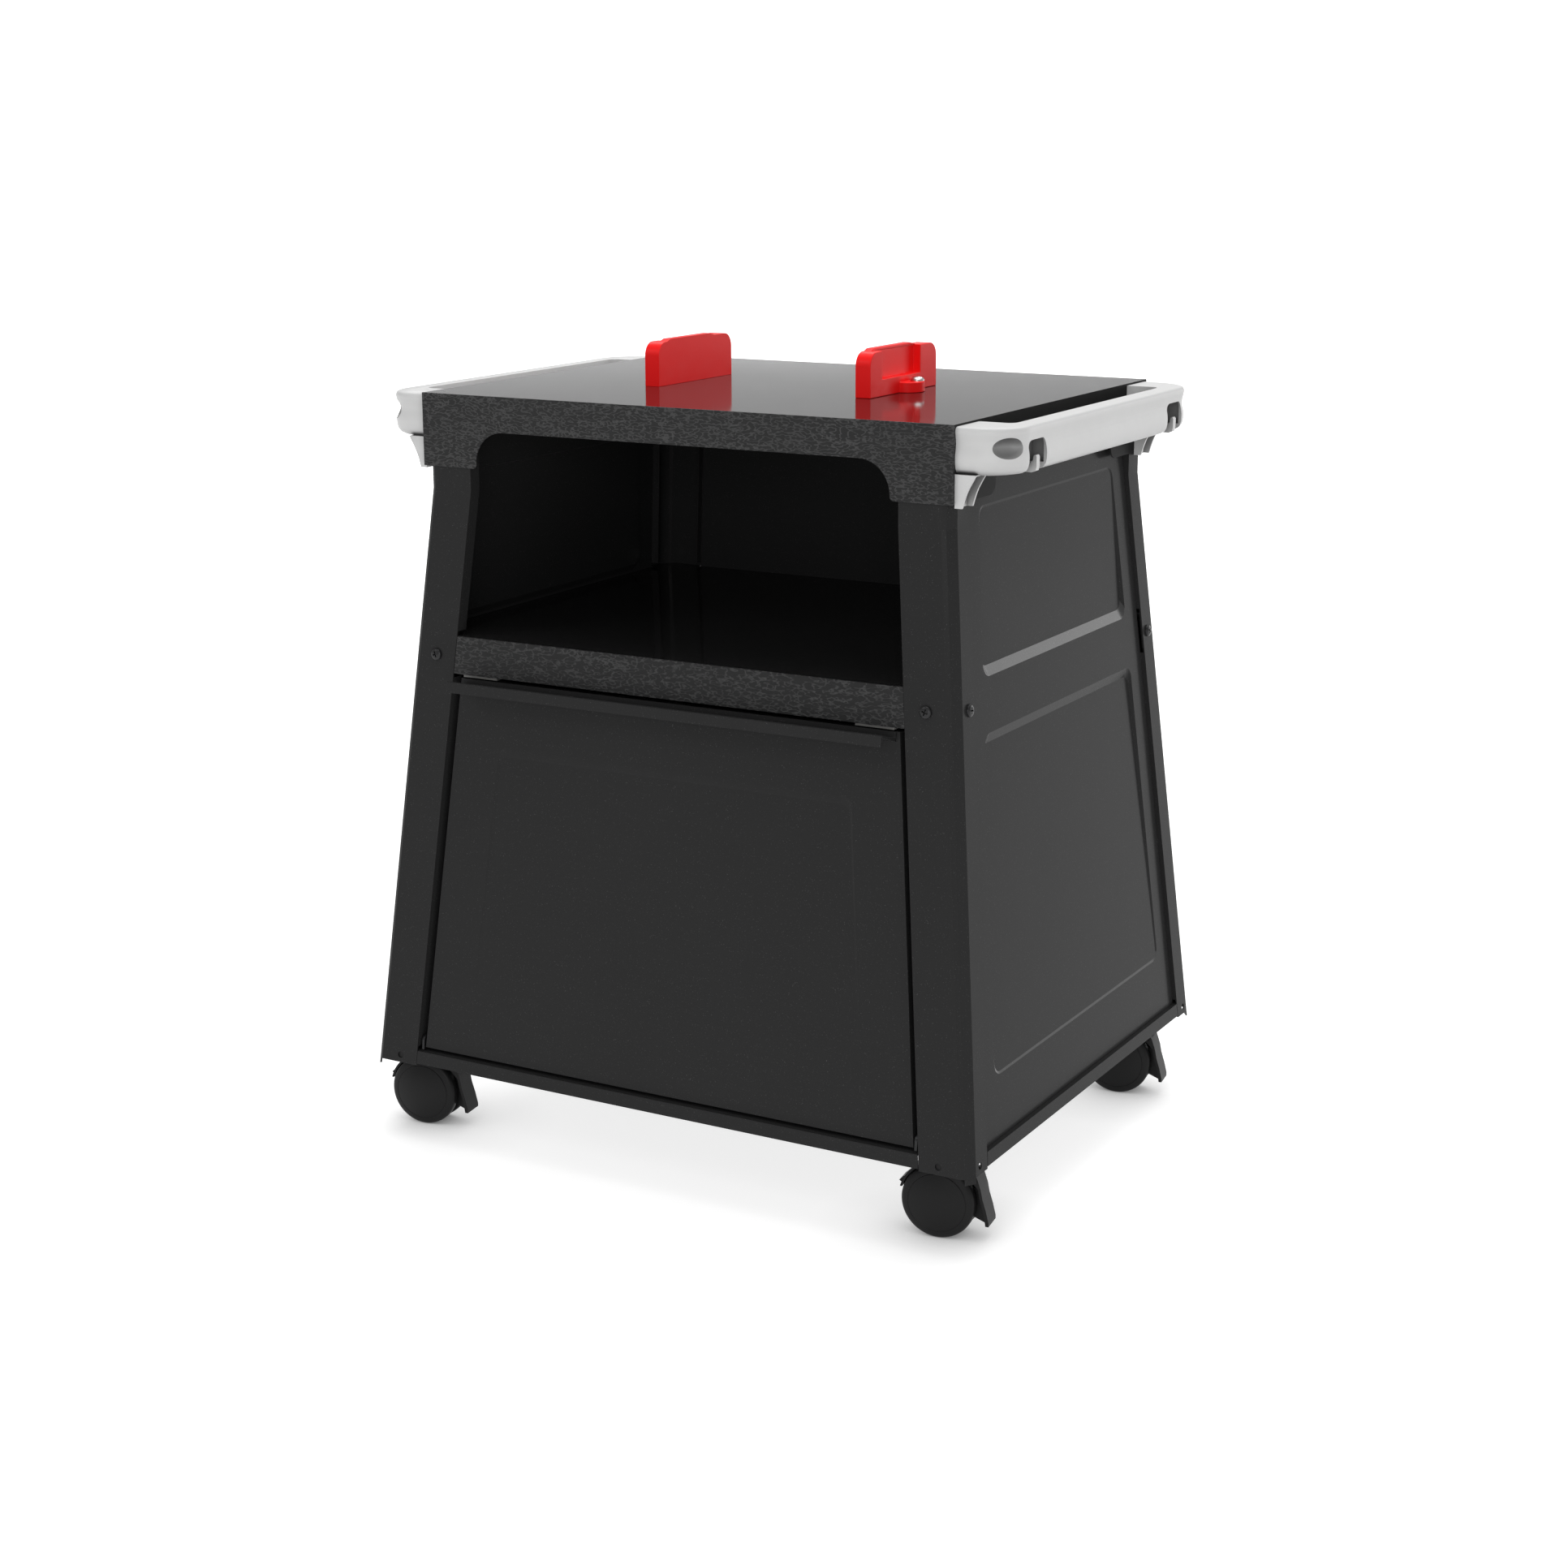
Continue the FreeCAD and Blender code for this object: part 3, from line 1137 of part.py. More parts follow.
def make_stems():
    """Steel stems fixed under the tray, and the sockets that hold them."""
    stems, sockets = [], []
    for side in (-1, 1):
        for end in (-1, 1):
            centre = ("%d * caster_x" % side, "%d * caster_y" % end)
            stem = new_body("stem")
            rod(stem, "XY", centre, "stem_radius", "stem_bottom + gap", "stem_top - stem_bottom - gap")
            stems.append(stem)
            socket = new_body("socket")
            length = "tray_height - gauge - hood_top - gap"
            rod(socket, "XY", centre, "socket_radius", "hood_top + gap", length)
            rod(socket, "XY", centre, "stem_radius", "hood_top", "stem_top - hood_top", cut=True)
            sockets.append(socket)
    group("caster_stems", stems)
    group("caster_sockets", sockets)


def build():
    make_top()
    make_fascia("front_fascia", -1, True)
    make_fascia("rear_fascia", 1, False)
    make_handle("left_handle", -1)
    make_handle("right_handle", 1)
    for side, side_name in ((-1, "left"), (1, "right")):
        for end, end_name in ((-1, "front"), (1, "rear")):
            make_leg("%s_%s_leg" % (end_name, side_name), side, end)
    make_side_panel("left_side_panel", -1)
    make_side_panel("right_side_panel", 1)
    make_back_panel()
    make_tray()
    make_shelf()
    make_shelf_rail()
    make_door()
    make_pull()
    make_hinges()
    make_catches()
    make_leg_screws()
    make_handle_screws()
    make_lock_bracket("left_lock_bracket", -1)
    make_lock_bracket("right_lock_bracket", 1)
    make_lock_screws()
    for side, side_name in ((-1, "left"), (1, "right")):
        for end, end_name in ((-1, "front"), (1, "rear")):
            make_caster("%s_%s_caster" % (end_name, side_name), side, end)
    make_stems()


def check():
    """Stop if an object failed or a piece has no valid solid."""
    document.recompute()
    bad = [o.Name for o in document.Objects if set(o.State) & {"Invalid", "Error"}]
    for node in nodes:
        if node.Shape.isNull() or not node.Shape.isValid() or not node.Shape.Solids:
            bad.append(node.Label)
    if bad:
        raise RuntimeError("failed objects: " + ", ".join(bad))


def write():
    os.makedirs("parts", exist_ok=True)
    for node in nodes:
        node.Shape.exportStep("parts/%s.step" % node.Label)
        print(node.Label, len(node.Shape.Solids), "solids", round(node.Shape.Volume / 1000, 2), "cm3")


build()
check()
write()
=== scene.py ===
"""Looks of a grill cart with storage: painted sheet, moulded handles, brackets and casters."""
import logging
import math
from dataclasses import dataclass
from enum import Enum
from typing import Callable, Iterable, Sequence

import bpy
from mathutils import Euler, Matrix, Vector


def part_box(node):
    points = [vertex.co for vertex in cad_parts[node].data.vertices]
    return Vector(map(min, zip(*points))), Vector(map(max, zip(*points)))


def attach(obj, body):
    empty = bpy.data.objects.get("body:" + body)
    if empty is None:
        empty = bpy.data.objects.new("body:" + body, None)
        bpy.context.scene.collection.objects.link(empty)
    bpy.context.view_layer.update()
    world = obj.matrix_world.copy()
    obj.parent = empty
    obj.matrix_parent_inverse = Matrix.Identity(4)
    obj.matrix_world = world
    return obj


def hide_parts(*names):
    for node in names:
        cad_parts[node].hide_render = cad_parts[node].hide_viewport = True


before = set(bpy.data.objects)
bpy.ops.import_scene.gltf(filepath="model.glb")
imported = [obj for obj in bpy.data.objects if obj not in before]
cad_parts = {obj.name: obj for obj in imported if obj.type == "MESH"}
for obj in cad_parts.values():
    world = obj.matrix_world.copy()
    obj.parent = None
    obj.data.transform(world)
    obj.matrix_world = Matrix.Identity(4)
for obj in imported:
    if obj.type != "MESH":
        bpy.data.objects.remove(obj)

LOG = logging.getLogger("grill_cart")
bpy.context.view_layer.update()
Point = tuple[float, float, float]
Flat = tuple[float, float]

# Lengths are in metres: Z up, X to the right seen from the front, Y to the back, the floor at zero.
SPLAY = math.radians(5.22)
KNEE = 0.696
HANDLE_SCREW_Y = 0.213
HANDLE_SCREW_Z = 0.723
ROUNDED_ANGLE = 28.0


class Side(Enum):
    """Which half of the cart a piece belongs to, seen from the front."""

    LEFT = -1
    RIGHT = 1

    @property
    def word(self) -> str:
        """The side's name in piece names."""
        return self.name.lower()


class Plane(Enum):
    """The plane that an outline is drawn in, with the axis it is pushed along."""

    XY = (0, 1, 2)
    XZ = (0, 2, 1)
    YZ = (1, 2, 0)


class Wire:
    """A shader socket that turns Python arithmetic into Math nodes."""

    def __init__(self, graph: "Graph", socket: bpy.types.NodeSocket) -> None:
        """Keep the socket and the graph that it belongs to."""
        self.graph = graph
        self.socket = socket

    def __add__(self, other: "Wire | float") -> "Wire":
        """Sum of two values."""
        return self.graph.math("ADD", self, other)

    __radd__ = __add__

    def __sub__(self, other: "Wire | float") -> "Wire":
        """This value less another."""
        return self.graph.math("SUBTRACT", self, other)

    def __rsub__(self, other: float) -> "Wire":
        """Another value less this one."""
        return self.graph.math("SUBTRACT", other, self)

    def __mul__(self, other: "Wire | float") -> "Wire":
        """Product of two values."""
        return self.graph.math("MULTIPLY", self, other)

    __rmul__ = __mul__

    def clamp(self, low: float = 0.0, high: float = 1.0) -> "Wire":
        """This value held between two limits."""
        return self.graph.math("MINIMUM", self.graph.math("MAXIMUM", self, low), high)

    def above(self, edge: float, soft: float) -> "Wire":
        """A mask that rises from 0 to 1 over soft, centred on edge."""
        return ((self - (edge - soft / 2)) * (1 / soft)).clamp()


class Graph:
    """The node tree of one material, around a Principled shader."""

    def __init__(self, name: str) -> None:
        """Start a material that has only its shader and output.

        Args:
            name: The material's name.
        """
        self.material = bpy.data.materials.new(name)
        self.material.use_nodes = True
        self.tree = self.material.node_tree
        self.shader = self.tree.nodes["Principled BSDF"]

    def node(self, kind: str, settings: dict | None = None, **inputs: object) -> bpy.types.Node:
        """Add a node.

        Args:
            kind: The node's type name.
            settings: Its properties, set before its sockets.
            inputs: A value or a Wire for each socket, spaces written as underscores.

        Returns:
            The new node.
        """
        made = self.tree.nodes.new(kind)
        for key, value in (settings or {}).items():
            setattr(made, key, value)
        for key, value in inputs.items():
            target = made.inputs[int(key[1:])] if key[1:].isdigit() else made.inputs[key.replace("_", " ")]
            if isinstance(value, Wire):
                self.tree.links.new(value.socket, target)
            else:
                target.default_value = value
        return made

    def math(self, operation: str, first: "Wire | float", second: "Wire | float") -> Wire:
        """A Math node on two values."""
        made = self.node("ShaderNodeMath", {"operation": operation}, i0=first, i1=second)
        return Wire(self, made.outputs[0])

    def place(self, stretch: Point = (1, 1, 1)) -> Wire:
        """Object coordinates, stretched along the axes.

        Args:
            stretch: How much closer the pattern's cells lie along each axis.

        Returns:
            The coordinates.
        """
        spot = Wire(self, self.node("ShaderNodeTexCoord").outputs["Object"])
        if stretch == (1, 1, 1):
            return spot
        return Wire(self, self.node("ShaderNodeMapping", None, Vector=spot, Scale=stretch).outputs[0])

    def noise(self, scale: float, detail: float = 3.0, stretch: Point = (1, 1, 1),
              rough: float = 0.5) -> Wire:
        """Fractal noise between 0 and 1 on the object's own coordinates.

        Args:
            scale: Its cells in a metre.
            detail: How many finer layers are added.
            stretch: How much closer the cells lie along each axis.
            rough: The share that each finer layer keeps.

        Returns:
            The noise.
        """
        made = self.node("ShaderNodeTexNoise", None, Vector=self.place(stretch), Scale=scale, Detail=detail,
                         Roughness=rough)
        return Wire(self, made.outputs["Fac"])

    def openness(self, reach: float, own: bool = True) -> Wire:
        """How much of the space within reach its own piece, or all pieces, leave open, from 0 to 1."""
        made = self.node("ShaderNodeAmbientOcclusion", {"samples": 8, "only_local": own}, Distance=reach)
        return Wire(self, made.outputs["AO"])

    def upward(self) -> Wire:
        """How far a face looks up, from -1 to 1."""
        normal = Wire(self, self.node("ShaderNodeTexCoord").outputs["Normal"])
        return Wire(self, self.node("ShaderNodeSeparateXYZ", None, Vector=normal).outputs["Z"])

    def ridges(self, scale: float, stretch: Point) -> Wire:
        """Thin branching ridges, 1 along their crests and 0 away from them."""
        folded = (self.noise(scale, 1.0, stretch) - 0.5) * 2.0
        return (1.0 - self.math("ABSOLUTE", folded, 0.0) * 7.0).clamp()

    def mix(self, mask: "Wire | float", first: Sequence[float], second: Sequence[float]) -> Wire:
        """Colour between two colours by a mask.

        Args:
            mask: How far towards the second colour, from 0 to 1.
            first: The colour where the mask is 0.
            second: The colour where it is 1.

        Returns:
            The mixed colour.
        """
        made = self.node("ShaderNodeMix", {"data_type": "RGBA"})
        for index, colour in ((6, first), (7, second)):
            if isinstance(colour, Wire):
                self.tree.links.new(colour.socket, made.inputs[index])
            else:
                made.inputs[index].default_value = (*colour, 1.0)
        if isinstance(mask, Wire):
            self.tree.links.new(mask.socket, made.inputs[0])
        else:
            made.inputs[0].default_value = mask
        return Wire(self, made.outputs[2])

    def shade(self, **sockets: object) -> None:
        """Set or link sockets of the shader, spaces written as underscores.

        Args:
            sockets: A value or a Wire for each socket of the shader.
        """
        for key, value in sockets.items():
            target = self.shader.inputs[key.replace("_", " ")]
            if isinstance(value, Wire):
                self.tree.links.new(value.socket, target)
            else:
                target.default_value = value

    def relief(self, height: Wire, depth: float, strength: float = 1.0) -> None:
        """Feed a height, in units of depth metres, to the shader's normal."""
        bump = self.node("ShaderNodeBump", None, Height=height, Distance=depth, Strength=strength)
        self.shade(Normal=Wire(self, bump.outputs[0]))


@dataclass(frozen=True)
class Enamel:
    """Sprayed and baked enamel on sheet steel, with its faint orange peel."""

    name: str
    colour: Point
    lighter: Point
    roughness: float
    peel: float = 0.00006
    gloss: float = 0.5
    drift_cells: float = 5.0
    smudge_cells: float = 34.0
    speck_cells: float = 900.0
    speck_share: float = 0.35
    peel_cells: Flat = (420.0, 1500.0)

    def make(self) -> bpy.types.Material:
        """Build the material.

        Returns:
            The material.
        """
        graph = Graph(self.name)
        drift = graph.noise(self.drift_cells, 2.0)
        smudge = graph.noise(self.smudge_cells, 5.0, rough=0.65)
        speck = graph.noise(self.speck_cells, 1.0).above(0.71, 0.05)
        tone = graph.mix((drift * 0.6 + smudge * 0.4 - 0.1).clamp(), self.colour, self.lighter)
        bright = tuple(4 * c for c in self.lighter)
        graph.shade(Base_Color=graph.mix(speck * self.speck_share, tone, bright))
        graph.shade(Roughness=(smudge * 0.03 + drift * 0.03 + (self.roughness - 0.03)).clamp(0.04, 1.0))
        graph.shade(Specular_IOR_Level=self.gloss)
        coarse, fine = self.peel_cells
        peel = graph.noise(coarse, 2.0) * 0.75 + graph.noise(fine, 1.0) * 0.25
        graph.relief(peel, self.peel, 0.5)
        return graph.material


@dataclass(frozen=True)
class WrinkleCoat:
    """Powder coat with a coarse wrinkled grain, wider than it is tall, and painted highlights along the
    wrinkles' crests.
    """

    name: str
    colour: Point
    lighter: Point
    roughness: float
    wrinkle: float = 300.0
    stretch: Point = (0.4, 0.4, 1.0)
    depth: float = 0.0013
    gloss: float = 0.3
    fine_cells: float = 1500.0
    patch_cells: float = 16.0

    def make(self) -> bpy.types.Material:
        """Build the material.

        Returns:
            The material.
        """
        graph = Graph(self.name)
        veins = graph.ridges(self.wrinkle, self.stretch)
        folds = graph.noise(self.wrinkle * 0.7, 3.0, self.stretch)
        fine = graph.noise(self.fine_cells, 2.0)
        patch = graph.noise(self.patch_cells, 2.0)
        crest = (veins * (0.35 + patch * 0.65)).clamp()
        # Painted highlight: the crests are coloured lighter, besides being raised by the bump.
        graph.shade(Base_Color=graph.mix(crest * 0.8, self.colour, self.lighter))
        graph.shade(Roughness=(fine * 0.1 - crest * 0.1 + self.roughness).clamp())
        graph.shade(Specular_IOR_Level=self.gloss)
        graph.relief(crest * 0.55 + folds * 0.4 + fine * 0.05, self.depth, 0.6)
        return graph.material


@dataclass(frozen=True)
class Moulded:
    """Moulded plastic with a fine spark-eroded grain, slightly uneven, with painted shade in its cavities
    and on its downward faces.
    """

    name: str
    colour: Point
    shade: Point
    roughness: float
    grain: float = 0.00005
    grain_scale: float = 1300.0
    gloss: float = 0.5
    painted_hollow_shade: float = 0.0
    painted_hollow_shade_reach: float = 0.03
    painted_downward_shade: float = 0.4
    painted_shade_share: float = 0.12
    flow_cells: float = 9.0
    grime_cells: float = 60.0

    def make(self) -> bpy.types.Material:
        """Build the material.

        Returns:
            The material.
        """
        graph = Graph(self.name)
        flow = graph.noise(self.flow_cells, 4.0)
        grime = graph.noise(self.grime_cells, 6.0, rough=0.7)
        tone = graph.mix((flow * 0.7 + grime * 0.5 - 0.25).clamp(), self.colour, self.shade)
        # Painted shade: the colour darkens towards a dark copy of itself where ambient occlusion finds the
        # piece closed in, and on faces that look down.
        if self.painted_hollow_shade:
            occluded_shade = (1.7 - graph.openness(self.painted_hollow_shade_reach) * 1.75).clamp() * self.painted_hollow_shade
            under = (0.0 - graph.upward()).clamp() * self.painted_downward_shade
            dark = tuple(self.painted_shade_share * c for c in self.colour)
            tone = graph.mix((occluded_shade + under).clamp(), tone, dark)
        graph.shade(Base_Color=tone)
        graph.shade(Roughness=(grime * 0.14 + (self.roughness - 0.07)).clamp())
        graph.shade(Specular_IOR_Level=self.gloss)
        graph.relief(graph.noise(self.grain_scale, 3.0), self.grain, 0.5)
        return graph.material


@dataclass(frozen=True)
class Plated:
    """Plated or blackened steel with fine turning marks."""

    name: str
    colour: Point
    darker: Point
    roughness: float
    metallic: float = 1.0
    cloud_cells: float = 300.0
    streak_cells: float = 800.0
    streak_stretch: Point = (1.0, 1.0, 6.0)
    streak_depth: float = 0.00003

    def make(self) -> bpy.types.Material:
        """Build the material.

        Returns:
            The material.
        """
        graph = Graph(self.name)
        cloud = graph.noise(self.cloud_cells, 4.0)
        streak = graph.noise(self.streak_cells, 2.0, self.streak_stretch)
        wear = (cloud * 0.8 + streak * 0.3 - 0.1).clamp()
        graph.shade(Base_Color=graph.mix(wear, self.colour, self.darker))
        graph.shade(Roughness=(cloud * 0.16 + streak * 0.08 + (self.roughness - 0.12)).clamp())
        graph.shade(Metallic=self.metallic)
        graph.relief(streak, self.streak_depth, 0.5)
        return graph.material


Finish = Enamel | WrinkleCoat | Moulded | Plated

ENAMEL = Enamel("charcoal_enamel", (0.024, 0.024, 0.0242), (0.0275, 0.0275, 0.0277), 0.22, 0.00003, 0.037)
# Painted light: a lighter, glossier copy of the enamel for the side panels' upward ledges.
LEDGE_LIGHT_ENAMEL = Enamel("painted_ledge_light", (0.042, 0.042, 0.0422), (0.046, 0.046, 0.0462), 0.26, 0.00003, 0.25)
# Painted shade: a near-black enamel for the top's side skirts, which lie in shade beneath the handles.
PAINTED_SHADE_ENAMEL = Enamel("painted_shade_enamel", (0.009, 0.009, 0.009), (0.011, 0.011, 0.011), 0.4, 0.00003, 0.03)
TOP_ENAMEL = Enamel("top_enamel", (0.0135, 0.0135, 0.0137), (0.015, 0.015, 0.0152), 0.09, 0.00001, 0.37)
WRINKLE = WrinkleCoat("wrinkled_charcoal", (0.0165, 0.0165, 0.0167), (0.078, 0.078, 0.0785), 0.42, gloss=0.2)
# The handles' plastic carries painted shade in its recesses and on its undersides.
HANDLE_GREY = Moulded("warm_grey_plastic", (0.575, 0.575, 0.573), (0.54, 0.54, 0.538), 0.44, painted_hollow_shade=0.8)
CATCH_GREY = Moulded("catch_grey_plastic", (0.16, 0.158, 0.152), (0.12, 0.118, 0.114), 0.5)
RED = Moulded("red_plastic", (0.95, 0.012, 0.0125), (0.88, 0.009, 0.0095), 0.36, 0.00004, gloss=0.13)
NYLON = Moulded("dark_nylon", (0.009, 0.009, 0.0092), (0.012, 0.012, 0.0122), 0.42, gloss=0.15)
ZINC = Plated("bright_zinc", (0.68, 0.68, 0.66), (0.5, 0.5, 0.5), 0.3)
PIN_STEEL = Plated("dull_pin_steel", (0.09, 0.09, 0.09), (0.05, 0.05, 0.05), 0.45)
BLACKENED = Plated("blackened_steel", (0.03, 0.03, 0.031), (0.015, 0.015, 0.016), 0.34, 0.6)


class Paintbox:
    """Every finish, made once and handed out by name."""

    def __init__(self) -> None:
        """Start with no material made."""
        self.made: dict[str, bpy.types.Material] = {}

    def add(self, piece: bpy.types.Object, finish: Finish) -> None:
        """Add a finish to a piece's materials.

        Args:
            piece: The piece to paint.
            finish: Its finish, made if nothing has used it yet.
        """
        if finish.name not in self.made:
            self.made[finish.name] = finish.make()
        piece.data.materials.append(self.made[finish.name])

    def coat(self, piece: bpy.types.Object, finish: Finish) -> None:
        """Give a piece one finish all over."""
        piece.data.materials.clear()
        self.add(piece, finish)


PAINT = Paintbox()


class Bench:
    """Modelling steps, each made on one piece at a time."""

    @staticmethod
    def clear() -> None:
        """Leave edit mode and deselect everything."""
        if bpy.context.object and bpy.context.object.mode != "OBJECT":
            bpy.ops.object.mode_set(mode="OBJECT")
        bpy.ops.object.select_all(action="DESELECT")

    @classmethod
    def activate(cls, piece: bpy.types.Object) -> None:
        """Make one object the only selected one.

        Args:
            piece: The object.
        """
        cls.clear()
        piece.select_set(True)
        bpy.context.view_layer.objects.active = piece

    @classmethod
    def prism(cls, outline: Sequence[Flat], plane: Plane, low: float, high: float) -> bpy.types.Object:
        """A block on an outline.

        Args:
            outline: The corners in the plane's own two axes.
            plane: The plane that the outline lies in.
            low: Where the block starts along the plane's third axis.
            high: Where it ends.

        Returns:
            The new object, with its place in its mesh.
        """
        cls.clear()
        bpy.ops.mesh.primitive_circle_add(vertices=len(outline), radius=1.0, fill_type="NGON")
        piece = bpy.context.object
        first, second, third = plane.value
        for vertex, (across, up) in zip(piece.data.vertices, outline):
            spot = [0.0, 0.0, 0.0]
            spot[first], spot[second], spot[third] = across, up, low
            vertex.co = spot
        shift = [0.0, 0.0, 0.0]
        shift[third] = high - low
        bpy.ops.object.mode_set(mode="EDIT")
        bpy.ops.mesh.select_all(action="SELECT")
        bpy.ops.mesh.extrude_region_move(TRANSFORM_OT_translate={"value": shift})
        bpy.ops.mesh.select_all(action="SELECT")
        bpy.ops.mesh.normals_make_consistent(inside=False)
        bpy.ops.object.mode_set(mode="OBJECT")
        return piece

    @classmethod
    def box(cls, low: Point, high: Point) -> bpy.types.Object:
        """A block between two corners."""
        outline = [(low[0], low[1]), (high[0], low[1]), (high[0], high[1]), (low[0], high[1])]
        return cls.prism(outline, Plane.XY, low[2], high[2])

    @classmethod
    def pick_edges(cls, piece: bpy.types.Object, wanted: Callable[[Vector, Vector], bool]) -> None:
        """Select the edges whose two ends satisfy a test, and stay in edit mode.

        Args:
            piece: The object.
            wanted: A test on an edge's two ends.
        """
        cls.activate(piece)
        bpy.ops.object.mode_set(mode="EDIT")
        bpy.ops.mesh.select_mode(type="EDGE")
        bpy.ops.mesh.select_all(action="DESELECT")
        bpy.ops.object.mode_set(mode="OBJECT")
        points = piece.data.vertices
        for edge in piece.data.edges:
            edge.select = wanted(points[edge.vertices[0]].co, points[edge.vertices[1]].co)
        bpy.ops.object.mode_set(mode="EDIT")

    @classmethod
    def round(cls, piece: bpy.types.Object, offset: float, segments: int,
              wanted: Callable[[Vector, Vector], bool]) -> bpy.types.Object:
        """Bevel the edges that satisfy a test.

        Args:
            piece: The object.
            offset: The bevel's width.
            segments: The faces across it.
            wanted: A test on an edge's two ends.

        Returns:
            The same object.
        """
        cls.pick_edges(piece, wanted)
        bpy.ops.mesh.bevel(offset=offset, segments=segments, affect="EDGES", clamp_overlap=True)
        bpy.ops.object.mode_set(mode="OBJECT")
        return piece

    @classmethod
    def upright(cls, piece: bpy.types.Object, offset: float, segments: int, axis: int = 2,
                wanted: Callable[[Vector], bool] = lambda spot: True) -> bpy.types.Object:
        """Bevel the edges that run along one axis, where a test on their place holds.

        Args:
            piece: The object.
            offset: The bevel's width.
            segments: The faces across it.
            axis: The axis that the edges run along.
            wanted: A test on an edge's middle.

        Returns:
            The same object.
        """
        others = [i for i in range(3) if i != axis]

        def along(one: Vector, two: Vector) -> bool:
            """Whether an edge runs along the axis and its middle is wanted."""
            still = all(abs(one[i] - two[i]) < 1e-6 for i in others)
            return still and wanted((one + two) / 2)

        return cls.round(piece, offset, segments, along)

    @classmethod
    def modify(cls, piece: bpy.types.Object, kind: str, **settings: object) -> bpy.types.Object:
        """Add a modifier and apply it.

        Args:
            piece: The object.
            kind: The modifier's type.
            settings: Its properties.

        Returns:
            The same object.
        """
        cls.activate(piece)
        modifier = piece.modifiers.new(kind.lower(), kind)
        for key, value in settings.items():
            setattr(modifier, key, value)
        bpy.ops.object.modifier_apply(modifier=modifier.name)
        return piece

    @classmethod
    def carve(cls, piece: bpy.types.Object, *cutters: bpy.types.Object) -> bpy.types.Object:
        """Cut other solids out of a piece and remove them.

        Args:
            piece: The object to cut.
            cutters: The solids to take away.

        Returns:
            The same object.
        """
        for cutter in cutters:
            cls.modify(piece, "BOOLEAN", object=cutter, operation="DIFFERENCE", solver="EXACT")
            bpy.data.objects.remove(cutter)
        return piece

    @classmethod
    def merge(cls, piece: bpy.types.Object, *others: bpy.types.Object) -> bpy.types.Object:
        """Unite other solids with a piece and remove them.

        Args:
            piece: The object to add to.
            others: The solids to add.

        Returns:
            The same object.
        """
        for other in others:
            cls.modify(piece, "BOOLEAN", object=other, operation="UNION", solver="EXACT")
            bpy.data.objects.remove(other)
        return piece

    @classmethod
    def join(cls, pieces: Sequence[bpy.types.Object]) -> bpy.types.Object:
        """Put several objects in one, without cutting them.

        Args:
            pieces: The objects.

        Returns:
            The first of them, which holds them all.
        """
        cls.clear()
        for piece in pieces:
            piece.select_set(True)
        bpy.context.view_layer.objects.active = pieces[0]
        bpy.ops.object.join()
        return pieces[0]

    @classmethod
    def tidy(cls, piece: bpy.types.Object, flat: float = 1.0) -> bpy.types.Object:
        """Merge doubled points and dissolve edges between flat faces.

        Args:
            piece: The object.
            flat: The fold, in degrees, that still counts as flat.

        Returns:
            The same object.
        """
        cls.activate(piece)
        bpy.ops.object.mode_set(mode="EDIT")
        bpy.ops.mesh.select_all(action="SELECT")
        bpy.ops.mesh.remove_doubles(threshold=1e-5)
        bpy.ops.mesh.dissolve_limited(angle_limit=math.radians(flat), delimit={"NORMAL"})
        bpy.ops.object.mode_set(mode="OBJECT")
        return piece

    @classmethod
    def soften(cls, piece: bpy.types.Object, width: float, segments: int = 2,
               angle: float = ROUNDED_ANGLE) -> bpy.types.Object:
        """Round every edge sharper than an angle and shade the rest smooth.

        Args:
            piece: The object.
            width: The rounding's width.
            segments: The faces across it.
            angle: Folds sharper than this many degrees are rounded.

        Returns:
            The same object.
        """
        cls.modify(piece, "BEVEL", width=width, segments=segments, limit_method="ANGLE",
                   angle_limit=math.radians(angle), use_clamp_overlap=True, miter_outer="MITER_ARC")
        cls.activate(piece)
        bpy.ops.object.shade_smooth_by_angle(angle=math.radians(max(angle, ROUNDED_ANGLE) + 2))
        return cls.modify(piece, "WEIGHTED_NORMAL", keep_sharp=True, weight=100)

    @classmethod
    def settle(cls, piece: bpy.types.Object) -> bpy.types.Object:
        """Put a piece's place, turn and size into its mesh.

        Args:
            piece: The object.

        Returns:
            The same object.
        """
        cls.activate(piece)
        bpy.ops.object.transform_apply(location=True, rotation=True, scale=True)
        return piece

    @classmethod
    def copy(cls, piece: bpy.types.Object, name: str, matrix: Matrix) -> bpy.types.Object:
        """A copy with a mesh of its own.

        Args:
            piece: The object to copy.
            name: The copy's name.
            matrix: Where the copy goes; a mirroring one also turns its faces right side out.

        Returns:
            The copy, with its place in its mesh.
        """
        twin = bpy.data.objects.new(name, piece.data.copy())
        bpy.context.scene.collection.objects.link(twin)
        twin.matrix_world = matrix
        cls.settle(twin)
        if matrix.determinant() < 0:
            bpy.ops.object.mode_set(mode="EDIT")
            bpy.ops.mesh.select_all(action="SELECT")
            bpy.ops.mesh.flip_normals()
            bpy.ops.object.mode_set(mode="OBJECT")
        return twin

